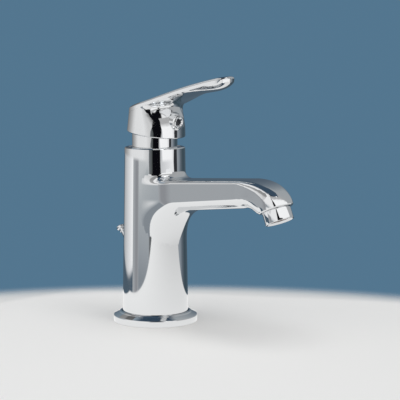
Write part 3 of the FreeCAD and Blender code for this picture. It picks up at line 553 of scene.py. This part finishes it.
# Reach near the column's skin, at which the spout's section is first taken
ROOT_SEAT = 20.0 * MM
# Radius of the column on the deck, and what it loses for each metre of height
COLUMN_FOOT = 23.2 * MM
COLUMN_TAPER = 2.1 / 122
# How far the blend runs along the spout and over the column, and how straight it leaves both, by side
BLEND_ALONG = {"side": 20.0 * MM, "below": 25.0 * MM, "above": 8.0 * MM}
BLEND_ROUND = {"side": 10.0 * MM, "below": 25.0 * MM, "above": 7.0 * MM}
BLEND_PULL = {"side": 13.0 * MM, "below": 17.0 * MM, "above": 5.0 * MM}
# How deep the blend's ends lie under both skins, and how thick it is
BLEND_SUNK = 0.04 * MM
BLEND_SKIN = 0.6 * MM
BLEND_STEPS = 36
BLEND_DEGREE = 5


def by_facing(amounts, across, up):
    """A size for a wall that faces so much to the side and so much up or down."""
    upright = amounts["above"] if up > 0 else amounts["below"]
    return across * across * amounts["side"] + up * up * upright


def spout_section():
    """Walks round the spout: corner signs, share of the way to the next corner, and where the wall faces."""
    walk = []
    for across, up, start in ((-1, -1, 180), (1, -1, 270), (1, 1, 0), (-1, 1, 90)):
        for step in range(ROOT_STEPS + 1):
            walk.append((across, up, 0.0, math.radians(start + 90 * step / ROOT_STEPS)))
        for step in range(1, ROOT_STEPS):
            walk.append((across, up, step / ROOT_STEPS, math.radians(start + 90)))
    return walk


def section_corner(reach, across, up):
    """Middle and radius of a rounded edge of the spout at a reach."""
    level, rise = ROOT_TOP if up > 0 else ROOT_BOTTOM
    width, widening = ROOT_HALF_WIDTH
    radius = ROOT_EDGE if up > 0 else ROOT_BELLY
    middle = Vector((reach, across * (width + widening * reach - radius), level + rise * reach - up * radius))
    return middle, radius


def on_spout(reach, across, up, share, facing):
    """A point on the spout's skin at a reach."""
    place, radius = section_corner(reach, across, up)
    if share:
        next_place, next_radius = section_corner(reach, -up, across)
        place = place.lerp(next_place, share)
        radius = radius + share * (next_radius - radius)
    return place + radius * Vector((0, math.cos(facing), math.sin(facing)))


def column_radius(level):
    """Radius of the tapered column at a level."""
    return COLUMN_FOOT - COLUMN_TAPER * level


def blend_line(spot):
    """One line of the blend, from the column's skin to the spout's."""
    facing = spot[3]
    across, up = math.cos(facing), math.sin(facing)
    seat = on_spout(ROOT_SEAT, *spot)
    radius = column_radius(seat.z)
    meets = math.asin(max(-1.0, min(1.0, seat.y / radius)))
    root = on_spout(radius * math.cos(meets), *spot)
    spread = by_facing(BLEND_ROUND, across, up)
    bearing = meets + across * spread / radius
    level = root.z + up * spread
    skin = column_radius(level) - BLEND_SUNK
    first = Vector((skin * math.cos(bearing), skin * math.sin(bearing), level))
    inward = Vector((across * math.sin(bearing), -across * math.cos(bearing), -up))
    reach = root.x + by_facing(BLEND_ALONG, across, up)
    last = on_spout(reach, *spot) - BLEND_SUNK * Vector((0, across, up))
    back = (on_spout(reach - MM, *spot) - on_spout(reach, *spot)).normalized()
    pull = by_facing(BLEND_PULL, across, up)
    leaves = [first + share * pull * inward for share in (0.0, 0.5, 1.0)]
    arrives = [last + share * pull * back for share in (1.0, 0.5, 0.0)]
    line = []
    for step in range(BLEND_STEPS + 1):
        t = step / BLEND_STEPS
        place = Vector((0, 0, 0))
        for number, handle in enumerate(leaves + arrives):
            rest = BLEND_DEGREE - number
            place += math.comb(BLEND_DEGREE, number) * t ** number * (1 - t) ** rest * handle
        line.append(place)
    return line


class MIXER_OT_root(bpy.types.Operator):
    """Lay the full blend round the spout's root"""
    bl_idname = "mixer.root"
    bl_label = "Spout root"

    def execute(self, context):
        lines = [blend_line(spot) for spot in spout_section()]
        lines.append(lines[0])
        bpy.ops.object.select_all(action="DESELECT")
        bpy.ops.mesh.primitive_grid_add(
            x_subdivisions=len(lines) - 1, y_subdivisions=BLEND_STEPS, size=MM, calc_uvs=False,
            location=(0, 0, 0))
        piece = context.object
        piece.name = "spout_root_blend"
        # A row of the grid goes once round the spout, and the rows go from the column to the spout
        for vertex in piece.data.vertices:
            row, number = divmod(vertex.index, len(lines))
            vertex.co = lines[number][row]
        mend(piece)
        apply_modifier(piece, "SOLIDIFY", thickness=BLEND_SKIN, offset=-1.0)
        smooth(piece, 50.0)
        dress(piece, "mixer_body", in_its_place=False)
        return {"FINISHED"}


class MIXER_OT_lever(bpy.types.Operator):
    """Weld and polish the lever"""
    bl_idname = "mixer.lever"
    bl_label = "Lever"

    def execute(self, context):
        dress(polished_copy("lever_handle", "lever_polished"), "lever_handle")
        return {"FINISHED"}


class MIXER_OT_rings(bpy.types.Operator):
    """Turn the ring on the deck and the cap over the cartridge"""
    bl_idname = "mixer.rings"
    bl_label = "Rings"

    def execute(self, context):
        sizes = context.scene.mixer_sizes
        foot = 0.2 * MM
        groove = 1.75 * MM
        top = sizes.ring_height
        skirt = sizes.ring_bore + 1.0 * MM
        rim = sizes.ring_radius - 1.3 * MM
        collar = sizes.ring_bore + 0.7 * MM
        bead = [(collar + 1.5 * MM, top - 1.1 * MM), (collar + 1.0 * MM, top - 0.5 * MM)]
        ring = turned("base_ring_turned", [
            (sizes.ring_bore, foot),
            (skirt, foot),
            (skirt, groove),
            (rim, groove),
            (rim, foot),
            (sizes.ring_radius, foot),
            (sizes.ring_radius, sizes.ring_lip),
            *bead,
            (collar, top),
            (sizes.ring_bore, top),
            (sizes.ring_bore, foot),
        ], steps=192)
        ease_rings(ring, [(sizes.ring_radius, sizes.ring_lip)], width=0.45 * MM)
        ease_rings(ring, [*bead, (collar, top)], width=0.22 * MM)
        ease_rings(ring, [(sizes.ring_radius, foot)], width=0.2 * MM, segments=2)
        smooth(ring, 40.0)
        dress(ring, "base_ring")
        wall = sizes.cap_radius - 1.4 * MM
        mouth = sizes.cap_radius - 3.3 * MM
        shoulder = sizes.cap_foot + 1.9 * MM
        ceiling = sizes.cap_top - 1.3 * MM
        cap = turned("cap_ring_turned", [
            (wall, sizes.cap_foot),
            (sizes.cap_flange, sizes.cap_foot),
            (sizes.cap_flange, shoulder),
            (sizes.cap_radius, shoulder),
            (sizes.cap_radius, sizes.cap_top),
            (mouth, sizes.cap_top),
            (mouth, ceiling),
            (wall, ceiling),
            (wall, sizes.cap_foot),
        ], steps=160)
        ease_rings(cap, [(sizes.cap_radius, sizes.cap_top)], width=2.2 * MM, segments=8)
        ease_rings(cap, [(mouth, sizes.cap_top)], width=0.3 * MM, segments=3)
        smooth(cap, 40.0)
        dress(cap, "cap_ring")
        return {"FINISHED"}


class MIXER_OT_outlet(bpy.types.Operator):
    """Turn the outlet sleeve and ease the jet former in its mouth"""
    bl_idname = "mixer.outlet"
    bl_label = "Outlet"

    def execute(self, context):
        sizes = context.scene.mixer_sizes
        head = 6.8 * MM
        shoulder = -0.1 * MM
        end = -sizes.sleeve_drop
        lip = sizes.sleeve_bore - 0.4 * MM
        bevel = 1.2 * MM
        ledge = end + bevel + 0.8 * MM
        sleeve = turned("outlet_sleeve_turned", [
            (sizes.sleeve_bore, head),
            (sizes.sleeve_thread, head),
            (sizes.sleeve_thread, shoulder),
            (sizes.sleeve_radius, shoulder),
            (sizes.sleeve_radius, end),
            (lip + bevel, end),
            (lip, end + bevel),
            (lip, ledge),
            (sizes.sleeve_bore, ledge),
            (sizes.sleeve_bore, head),
        ])
        ease_rings(sleeve, [(sizes.sleeve_radius, end)], width=0.3 * MM)
        ease_rings(sleeve, [(lip + bevel, end), (lip, end + bevel)], width=0.15 * MM, segments=3)
        ease_rings(sleeve, [(sizes.sleeve_radius, shoulder)], width=0.25 * MM, segments=3)
        smooth(sleeve, 40.0)
        stand(sleeve, (sizes.outlet_reach, 0, sizes.outlet_level), -sizes.outlet_lean)
        dress(sleeve, "aerator_housing")
        dress(eased_copy("aerator_insert", "jet_former_eased", width=0.18 * MM), "aerator_insert")
        return {"FINISHED"}


class MIXER_OT_index(bpy.types.Operator):
    """Turn the plug on the hub's front and its dark dot"""
    bl_idname = "mixer.index"
    bl_label = "Index plug"

    def execute(self, context):
        sizes = context.scene.mixer_sizes
        lean = sizes.lever_lean
        place = (sizes.plug_level * math.sin(lean), 0, sizes.pivot_level + sizes.plug_level * math.cos(lean))
        face = sizes.plug_face
        rim = sizes.plug_radius
        shank = rim - 1.25 * MM
        well = rim - 1.9 * MM
        tail = face - 5.0 * MM
        back = face - 2.0 * MM
        floor = face - 1.5 * MM
        bezel = [(rim, face - 0.5 * MM), (rim - 0.5 * MM, face), (rim - 0.9 * MM, face)]
        plug = turned("index_plug_turned", [
            (0, tail),
            (shank, tail),
            (shank, back),
            (rim, back),
            *bezel,
            (well, face - 0.8 * MM),
            (well, floor),
            (0, floor),
        ], steps=96)
        ease_rings(plug, bezel, width=0.15 * MM, segments=3)
        smooth(plug, 40.0)
        stand(plug, place, math.pi / 2 + lean)
        dress(plug, "index_plug")
        edge = rim - 1.95 * MM
        seat = face - 1.45 * MM
        dome = [(edge, face - 0.9 * MM), (edge - 0.55 * MM, face - 0.6 * MM)]
        dot = turned("index_dot_turned", [
            (0, seat),
            (edge, seat),
            *dome,
            (0, face - 0.5 * MM),
        ], steps=64)
        ease_rings(dot, dome, width=0.2 * MM, segments=3)
        smooth(dot, 50.0)
        stand(dot, place, math.pi / 2 + lean)
        dress(dot, "index_dot")
        return {"FINISHED"}


class MIXER_OT_pull_rod(bpy.types.Operator):
    """Turn the knob and polish the rod behind the column"""
    bl_idname = "mixer.pull_rod"
    bl_label = "Pull rod"

    def execute(self, context):
        sizes = context.scene.mixer_sizes
        socket = sizes.rod_radius + 0.02 * MM
        neck = sizes.rod_radius + 0.7 * MM
        rim = sizes.rod_radius + 1.9 * MM
        foot = -1.5 * MM
        under = 0.7 * MM
        depth = 1.15 * MM
        top = 2.8 * MM
        knob = turned("pull_knob_turned", [
            (0, depth),
            (socket, depth),
            (socket, foot),
            (neck, foot),
            (neck, under),
            (rim, under),
            (rim, top),
            (0, top),
        ], steps=96)
        ease_rings(knob, [(rim, under), (rim, top)], width=0.5 * MM, segments=5)
        ease_rings(knob, [(neck, foot)], width=0.2 * MM, segments=3)
        smooth(knob, 40.0)
        stand(knob, (sizes.knob_back, 0, sizes.knob_level), -sizes.rod_lean)
        dress(knob, "lift_knob")
        dress(polished_copy("lift_rod", "pull_rod_polished", 40.0), "lift_rod")
        dress(eased_copy("rod_guide", "rod_guide_eased", width=0.2 * MM), "rod_guide")
        return {"FINISHED"}


# Form of the thread, in pitches
THREAD_DEPTH = 0.61
THREAD_RISE = 0.25
THREAD_CREST = (0.56, 0.69)
THREAD_STEPS = 28


def make_stud(sizes):
    """A stud with its thread run along all its length."""
    pitch = sizes.thread_pitch
    crest = sizes.stud_radius - 0.02 * MM
    root = sizes.stud_radius - THREAD_DEPTH * pitch
    start = sizes.stud_foot - 2 * pitch
    stud = drawn("stud_threaded", [
        (root, start),
        (root, start + pitch * THREAD_RISE),
        *[(crest, start + pitch * share) for share in THREAD_CREST],
        (root, start + pitch),
    ])
    close_mesh()
    turns = math.ceil((sizes.stud_top - start) / pitch) + 2
    apply_modifier(
        stud, "SCREW", axis="Z", angle=math.tau, screw_offset=pitch, iterations=turns, steps=THREAD_STEPS,
        render_steps=THREAD_STEPS, use_merge_vertices=True, merge_threshold=WELD)
    slice_off(stud, (0, 0, sizes.stud_top), (0, 0, 1))
    slice_off(stud, (0, 0, sizes.stud_foot), (0, 0, -1))
    mend(stud)
    smooth(stud, 25.0)
    stand(stud, (sizes.stud_place, 0, 0))
    return stud


def make_nut(sizes):
    """A long nut: a chamfered blank with six flats cut on it."""
    bore = sizes.stud_radius + 0.03 * MM
    flat = sizes.nut_flats / 2
    corner = flat / math.cos(math.pi / 6)
    face = flat - 0.2 * MM
    chamfer = 0.7 * MM
    sink = 0.5 * MM
    foot = sizes.nut_foot
    top = sizes.nut_foot + sizes.nut_length
    nut = turned("long_nut_cut", [
        (bore, foot + sink),
        (bore + sink, foot),
        (face, foot),
        (corner, foot + chamfer),
        (corner, top - chamfer),
        (face, top),
        (bore + sink, top),
        (bore, top - sink),
        (bore, foot + sink),
    ], steps=96)
    for side in range(6):
        turn = math.radians(30 + 60 * side)
        normal = (math.cos(turn), math.sin(turn), 0)
        slice_off(nut, tuple(part * flat for part in normal), normal)
    mend(nut)
    smooth(nut, 25.0)
    stand(nut, (sizes.stud_place, 0, 0))
    return nut


class MIXER_OT_fixings(bpy.types.Operator):
    """Make the stud, nut and horseshoes under the deck"""
    bl_idname = "mixer.fixings"
    bl_label = "Fixings"

    def execute(self, context):
        sizes = context.scene.mixer_sizes
        dress(make_stud(sizes), "mounting_stud")
        dress(make_nut(sizes), "stud_nut")
        dress(eased_copy("horseshoe_gasket", "horseshoe_gasket_eased", width=0.4 * MM), "horseshoe_gasket")
        dress(eased_copy("horseshoe_plate", "horseshoe_plate_eased", width=0.25 * MM), "horseshoe_plate")
        return {"FINISHED"}


# Stage

SENSOR_WIDTH = 36.0


def make_camera(studio):
    """A camera that sees the object as the photo shows it."""
    around = studio.azimuth
    aim = studio.azimuth + studio.swing
    down = studio.pitch
    place = Vector((studio.distance * math.sin(around), -studio.distance * math.cos(around), studio.height))
    forward = Vector((-math.sin(aim) * math.cos(down), math.cos(aim) * math.cos(down), -math.sin(down)))
    data = bpy.data.cameras.new("photo_camera")
    data.lens = studio.lens
    data.sensor_width = SENSOR_WIDTH
    camera = bpy.data.objects.new("photo_camera", data)
    bpy.context.scene.collection.objects.link(camera)
    camera.location = place
    camera.rotation_mode = "QUATERNION"
    camera.rotation_quaternion = forward.to_track_quat("-Z", "Y")
    bpy.context.scene.camera = camera


# The floor's sheet, and the round patch of it that is seen
FLOOR_REACH = 1.2
FLOOR_SIDES = 96
FLOOR_ROUGHNESS = 0.6
FLOOR_CENTRE = (0.18, -0.18, 0.0)
FLOOR_SOLID = 0.35
FLOOR_GONE = 0.41


def sheet_of(name):
    """A flat round sheet on the deck's level."""
    bpy.ops.object.select_all(action="DESELECT")
    bpy.ops.mesh.primitive_circle_add(
        vertices=FLOOR_SIDES, radius=FLOOR_REACH, fill_type="NGON", location=(0, 0, 0))
    sheet = bpy.context.object
    sheet.name = name
    return sheet


def make_floor(studio):
    """A pale floor that fades into the backdrop."""
    floor = sheet_of("floor")
    floor.visible_glossy = False
    finish, tree, shader = new_finish("pale_floor")
    shader.inputs["Base Color"].default_value = (*studio.floor, 1.0)
    shader.inputs["Roughness"].default_value = FLOOR_ROUGHNESS
    shift = add_node(
        tree, "ShaderNodeVectorMath", {0: own_place(tree), 1: FLOOR_CENTRE}, operation="SUBTRACT")
    reach = reach_of(tree, shift.outputs["Vector"])
    tree.links.new(faded(tree, reach, FLOOR_SOLID, FLOOR_GONE), shader.inputs["Alpha"])
    floor.data.materials.append(finish)


def mirrored_only(card, name):
    """Hides a card from all but the mirrors, and gives it an empty finish; returns the finish's tree."""
    card.visible_camera = False
    card.visible_diffuse = False
    card.visible_shadow = False
    finish = bpy.data.materials.new(name)
    finish.use_nodes = True
    finish.node_tree.nodes.clear()
    card.data.materials.append(finish)
    return finish.node_tree


def glow_where(tree, cover, pale):
    """Shows the pale glow where the cover is one, and nothing elsewhere."""
    clear = tree.nodes.new("ShaderNodeBsdfTransparent").outputs["BSDF"]
    shown(tree, cover, clear, pale.outputs["Emission"], "ShaderNodeOutputMaterial")


# Edges of the card on the floor: a direction, and how far the card goes that way
CARD_EDGES = (((-0.671, -0.741, 0.0), 0.161), ((-1.0, 0.0, 0.0), 0.13), ((-0.514, 0.857, 0.0), 0.105))
CARD_SOFT = 0.006
CARD_REACH = 1.0
CARD_GONE = 1.06
# The card is brighter where it starts in this direction than where it ends
CARD_ACROSS = (0.707, 0.707, 0.0)
CARD_START = -0.12
CARD_END = 0.40
CARD_BRIGHT = 1.14
CARD_DIM = 0.86


def make_card(studio):
    """A pale card on the floor before the object, which only the chrome mirrors."""
    tree = mirrored_only(sheet_of("card"), "pale_card")
    place = own_place(tree)
    cover = faded(tree, reach_of(tree, place), CARD_REACH, CARD_GONE)
    for direction, end in CARD_EDGES:
        edge = faded(tree, towards(tree, place, direction), end - CARD_SOFT, end + CARD_SOFT)
        cover = worked(tree, "MULTIPLY", cover, edge)
    across = share_of(tree, towards(tree, place, CARD_ACROSS), CARD_START, CARD_END)
    stops = [(0.0, shade(studio.card, CARD_BRIGHT)), (1.0, shade(studio.card, CARD_DIM))]
    pale = add_node(tree, "ShaderNodeEmission", {"Color": ramped(tree, across, stops)})
    glow_where(tree, cover, pale)


# Cards hung round the lever: bearing from the camera's side in degrees, and brightness
LEFT_CARD = [
    (-165, 0.15),
    (-150, 0.24),
    (-130, 0.39),
    (-115.5, 0.54),
    (-102, 0.77),
    (-91.5, 0.90),
    (-43, 0.93),
    (-33, 0.82),
    (-21.5, 0.72),
    (9, 0.72),
]
RIGHT_CARD = [(3, 1.15), (64, 1.10)]
# Level of the head, bearing of the edge towards the camera, its slant in degrees for each metre of height,
# and whether the card lies past the edge (1) or before it (-1)
HUNG_CARDS = {
    "left_card": {"stops": LEFT_CARD, "head": 0.264, "edge": -19.5, "slant": 340.0, "side": -1.0},
    "right_card": {"stops": RIGHT_CARD, "head": 0.214, "edge": 24.0, "slant": -150.0, "side": 1.0},
}
# Degrees from the X axis to the camera's side, and the cards' distance from the column's axis
HUNG_FRONT = 45
HUNG_REACH = 0.180
HUNG_STEPS = 48
# The card is clear at the first level and solid at the second
HUNG_FOOT = 0.104
HUNG_SOLID = 0.107
# The slant counts from this level, and stops at so many degrees; the edge is as soft as this, in radians
HUNG_LEVEL = 0.1243
HUNG_TURN = 19
HUNG_SOFT = 0.01
# The card grows dim from the first level to the second
HUNG_BRIGHT_TO = 0.157
HUNG_DIM_FROM = 0.178
HUNG_DIM = 0.45


def hang_card(name, stops, head, edge, slant, side):
    """A curved card beside the lever, clear at its foot, which only the chrome mirrors from within."""
    first, last = stops[0][0], stops[-1][0]
    line = [(HUNG_REACH, HUNG_FOOT), (HUNG_REACH, head)]
    card = spun(name, line, HUNG_STEPS, math.radians(first - last))
    close_mesh()
    card.rotation_euler = (0, 0, math.radians(first - HUNG_FRONT))
    tree = mirrored_only(card, name)
    parts = add_node(tree, "ShaderNodeSeparateXYZ", {"Vector": own_place(tree)})
    level = parts.outputs["Z"]
    bearing = worked(tree, "ARCTAN2", parts.outputs["Y"], parts.outputs["X"])
    share = share_of(tree, bearing, 0.0, math.radians(last - first))
    colours = [((turn - first) / (last - first), (value, value, value)) for turn, value in stops]
    strength = ranged(tree, level, 1.0, HUNG_DIM, HUNG_BRIGHT_TO, HUNG_DIM_FROM)
    pale = add_node(
        tree, "ShaderNodeEmission", {"Color": ramped(tree, share, colours), "Strength": strength})
    turn = worked(tree, "MULTIPLY", worked(tree, "SUBTRACT", level, HUNG_LEVEL), math.radians(slant))
    turn = worked(tree, "MINIMUM", turn, math.radians(HUNG_TURN))
    past = worked(tree, "SUBTRACT", worked(tree, "SUBTRACT", bearing, turn), math.radians(edge - first))
    cut = share_of(tree, worked(tree, "MULTIPLY", past, side), -HUNG_SOFT, HUNG_SOFT)
    cover = worked(tree, "MULTIPLY", share_of(tree, level, HUNG_FOOT, HUNG_SOLID), cut)
    facing = tree.nodes.new("ShaderNodeNewGeometry")
    within = worked(tree, "SUBTRACT", 1.0, facing.outputs["Backfacing"])
    glow_where(tree, worked(tree, "MULTIPLY", cover, within), pale)


LIGHT_SIZE = 1.1
LIGHT_POWER = 11.0
LIGHT_PLACE = (0.25, -0.15, 1.3)


def make_light():
    """A wide soft light overhead for the floor; the chrome doesn't mirror it."""
    data = bpy.data.lights.new("overhead", "AREA")
    data.shape = "DISK"
    data.size = LIGHT_SIZE
    data.energy = LIGHT_POWER
    light = bpy.data.objects.new("overhead", data)
    light.location = LIGHT_PLACE
    light.visible_glossy = False
    bpy.context.scene.collection.objects.link(light)


BLUE = (0.085, 0.125, 0.165)
WHITE = (1.00, 1.00, 1.00)
DARK = (0.035, 0.037, 0.042)
BLACK = (0.004, 0.004, 0.006)

# Brightness of the lower walls round the horizon: degrees from the camera's side, positive to the right
LOW_WALLS = [
    (-180, BLUE),
    (-157, BLUE),
    (-153, (0.42, 0.43, 0.44)),
    (-127, (0.68, 0.69, 0.70)),
    (-100, (0.96, 0.96, 0.97)),
    (-89.5, (1.08, 1.08, 1.08)),
    (-88.5, (0.42, 0.44, 0.46)),
    (-83, (0.42, 0.44, 0.46)),
    (-75, (0.32, 0.33, 0.35)),
    (-68, (0.32, 0.33, 0.35)),
    (-62.5, (0.46, 0.48, 0.50)),
    (-24, (0.48, 0.50, 0.52)),
    (-22, (0.18, 0.19, 0.20)),
    (-11, (0.09, 0.10, 0.10)),
    (-9, BLACK),
    (19, BLACK),
    (21, (0.68, 0.69, 0.70)),
    (62, (0.94, 0.94, 0.95)),
    (75, (0.97, 0.97, 0.98)),
    (76.5, DARK),
    (90, DARK),
    (92, (0.36, 0.39, 0.42)),
    (103, (0.26, 0.30, 0.34)),
    (114, (0.12, 0.15, 0.18)),
    (131, (0.05, 0.08, 0.10)),
    (180, BLUE),
]
# Brightness of the long grey wall by the sine of its height
GREY_WALL = [
    (-0.140, (0.28, 0.31, 0.34)),
    (-0.120, (0.37, 0.40, 0.43)),
    (-0.085, (0.48, 0.51, 0.53)),
    (-0.060, (0.64, 0.66, 0.67)),
    (-0.045, (0.80, 0.81, 0.82)),
]
# The wall reaches between these bearings
GREY_START = -63.5
GREY_END = -23
# Brightness of the upper walls, as for the lower ones
HIGH_WALLS = [
    (-180, (0.05, 0.08, 0.12)),
    (-165, (0.16, 0.22, 0.27)),
    (-140, (0.32, 0.38, 0.43)),
    (-96, (0.38, 0.43, 0.48)),
    (-91, WHITE),
    (-19, WHITE),
    (-14.5, BLACK),
    (22, BLACK),
    (26, WHITE),
    (58, WHITE),
    (62, (0.40, 0.41, 0.42)),
    (100, (0.45, 0.46, 0.47)),
    (145, (0.40, 0.43, 0.45)),
    (165, (0.18, 0.22, 0.26)),
    (180, (0.05, 0.08, 0.12)),
]
# Colour overhead, and the direction and colour of a small lamp
OVERHEAD = (0.05, 0.085, 0.13)
LAMP = (0.352, 0.4346, 0.829)
LAMP_COLOUR = (3.0, 3.0, 3.0)
# Where one area turns into the next: sines of height, and how near to the lamp's direction
LOW_TO_HIGH = (-0.017, 0.07)
HIGH_TO_OVERHEAD = (0.829, 0.899)
LAMP_EDGE = (0.9925, 0.9955)
# The lower wall on the left stands on a bowed sill: bearings in degrees and sines of height
SILL_MIDDLE = -122
SILL_HALF_WIDTH = 32
SILL_END = -89
SILL_BOW = 0.010
SILL_DROP = 0.149
SILL_SOFT = 0.003


def round_walls(tree, share, walls):
    """The colours of a ring of walls."""
    return ramped(tree, share, [((degrees + 180) / 360, colour) for degrees, colour in walls])


def make_world(studio):
    """Soft boxes and dark gaps round the object; the camera itself sees a plain backdrop."""
    world = bpy.data.worlds.new("studio")
    bpy.context.scene.world = world
    world.use_nodes = True
    tree = world.node_tree
    tree.nodes.clear()
    place = tree.nodes.new("ShaderNodeTexCoord").outputs["Generated"]
    front = (0, 0, math.pi / 2 - studio.azimuth)
    turn = add_node(tree, "ShaderNodeMapping", {"Vector": place, "Rotation": front}, vector_type="VECTOR")
    parts = add_node(tree, "ShaderNodeSeparateXYZ", {"Vector": turn.outputs["Vector"]})
    level = parts.outputs["Z"]
    bearing = worked(tree, "ARCTAN2", parts.outputs["Y"], parts.outputs["X"])
    share = share_of(tree, bearing, -math.pi, math.pi)
    off_middle = worked(tree, "ADD", bearing, math.radians(-SILL_MIDDLE))
    off_middle = worked(tree, "DIVIDE", off_middle, math.radians(SILL_HALF_WIDTH))
    bow = worked(tree, "POWER", worked(tree, "ABSOLUTE", off_middle, 0.0), 2.0)
    sill = worked(tree, "SUBTRACT", worked(tree, "MULTIPLY", bow, SILL_BOW), SILL_DROP)
    above = share_of(tree, worked(tree, "SUBTRACT", level, sill), -SILL_SOFT, SILL_SOFT)
    beside = worked(tree, "GREATER_THAN", bearing, math.radians(SILL_END))
    inside = worked(tree, "MAXIMUM", above, beside)
    low = mixed(tree, inside, BLUE, round_walls(tree, share, LOW_WALLS))
    foot, head = GREY_WALL[0][0], GREY_WALL[-1][0]
    stops = [((height - foot) / (head - foot), colour) for height, colour in GREY_WALL]
    grey = ramped(tree, share_of(tree, level, foot, head), stops)
    starts = worked(tree, "GREATER_THAN", bearing, math.radians(GREY_START))
    ends = worked(tree, "LESS_THAN", bearing, math.radians(GREY_END))
    low = mixed(tree, worked(tree, "MULTIPLY", starts, ends), low, grey)
    high = round_walls(tree, share, HIGH_WALLS)
    walls = mixed(tree, share_of(tree, level, *LOW_TO_HIGH), low, high)
    sky = mixed(tree, share_of(tree, level, *HIGH_TO_OVERHEAD), walls, OVERHEAD)
    glow = share_of(tree, towards(tree, turn.outputs["Vector"], LAMP), *LAMP_EDGE)
    lit = add_node(tree, "ShaderNodeBackground", {"Color": mixed(tree, glow, sky, LAMP_COLOUR)})
    plain = add_node(tree, "ShaderNodeBackground", {"Color": (*studio.backdrop, 1.0)})
    seen = tree.nodes.new("ShaderNodeLightPath").outputs["Is Camera Ray"]
    shown(tree, seen, lit.outputs["Background"], plain.outputs["Background"], "ShaderNodeOutputWorld")


class MIXER_OT_stage(bpy.types.Operator):
    """Set up the floor, the cards, the soft light and the camera"""
    bl_idname = "mixer.stage"
    bl_label = "Stage"

    def execute(self, context):
        studio = context.scene.mixer_studio
        make_camera(studio)
        make_floor(studio)
        make_card(studio)
        for name, card in HUNG_CARDS.items():
            hang_card(name, **card)
        make_light()
        make_world(studio)
        context.scene.view_settings.view_transform = "Standard"
        return {"FINISHED"}


class MIXER_PT_panel(bpy.types.Panel):
    """Lists the mixer's pieces in the sidebar"""
    bl_idname = "MIXER_PT_panel"
    bl_label = "Basin mixer"
    bl_space_type = "VIEW_3D"
    bl_region_type = "UI"
    bl_category = "Mixer"

    def draw(self, context):
        for step in STEPS:
            self.layout.operator(step.bl_idname)


GROUPS = {"mixer_sizes": MixerSizes, "mixer_finishes": MixerFinishes, "mixer_studio": MixerStudio}
STEPS = (
    MIXER_OT_finishes,
    MIXER_OT_casting,
    MIXER_OT_root,
    MIXER_OT_lever,
    MIXER_OT_rings,
    MIXER_OT_outlet,
    MIXER_OT_index,
    MIXER_OT_pull_rod,
    MIXER_OT_fixings,
    MIXER_OT_stage,
)


def register():
    for name, group in GROUPS.items():
        bpy.utils.register_class(group)
        setattr(bpy.types.Scene, name, PointerProperty(type=group))
    for step in STEPS:
        bpy.utils.register_class(step)
    bpy.utils.register_class(MIXER_PT_panel)


def unregister():
    bpy.utils.unregister_class(MIXER_PT_panel)
    for step in reversed(STEPS):
        bpy.utils.unregister_class(step)
    for name, group in GROUPS.items():
        delattr(bpy.types.Scene, name)
        bpy.utils.unregister_class(group)


def main():
    register()
    bpy.ops.mixer.finishes()
    bpy.ops.mixer.casting()
    bpy.ops.mixer.root()
    bpy.ops.mixer.lever()
    bpy.ops.mixer.rings()
    bpy.ops.mixer.outlet()
    bpy.ops.mixer.index()
    bpy.ops.mixer.pull_rod()
    bpy.ops.mixer.fixings()
    bpy.ops.mixer.stage()


if __name__ == "__main__":
    main()
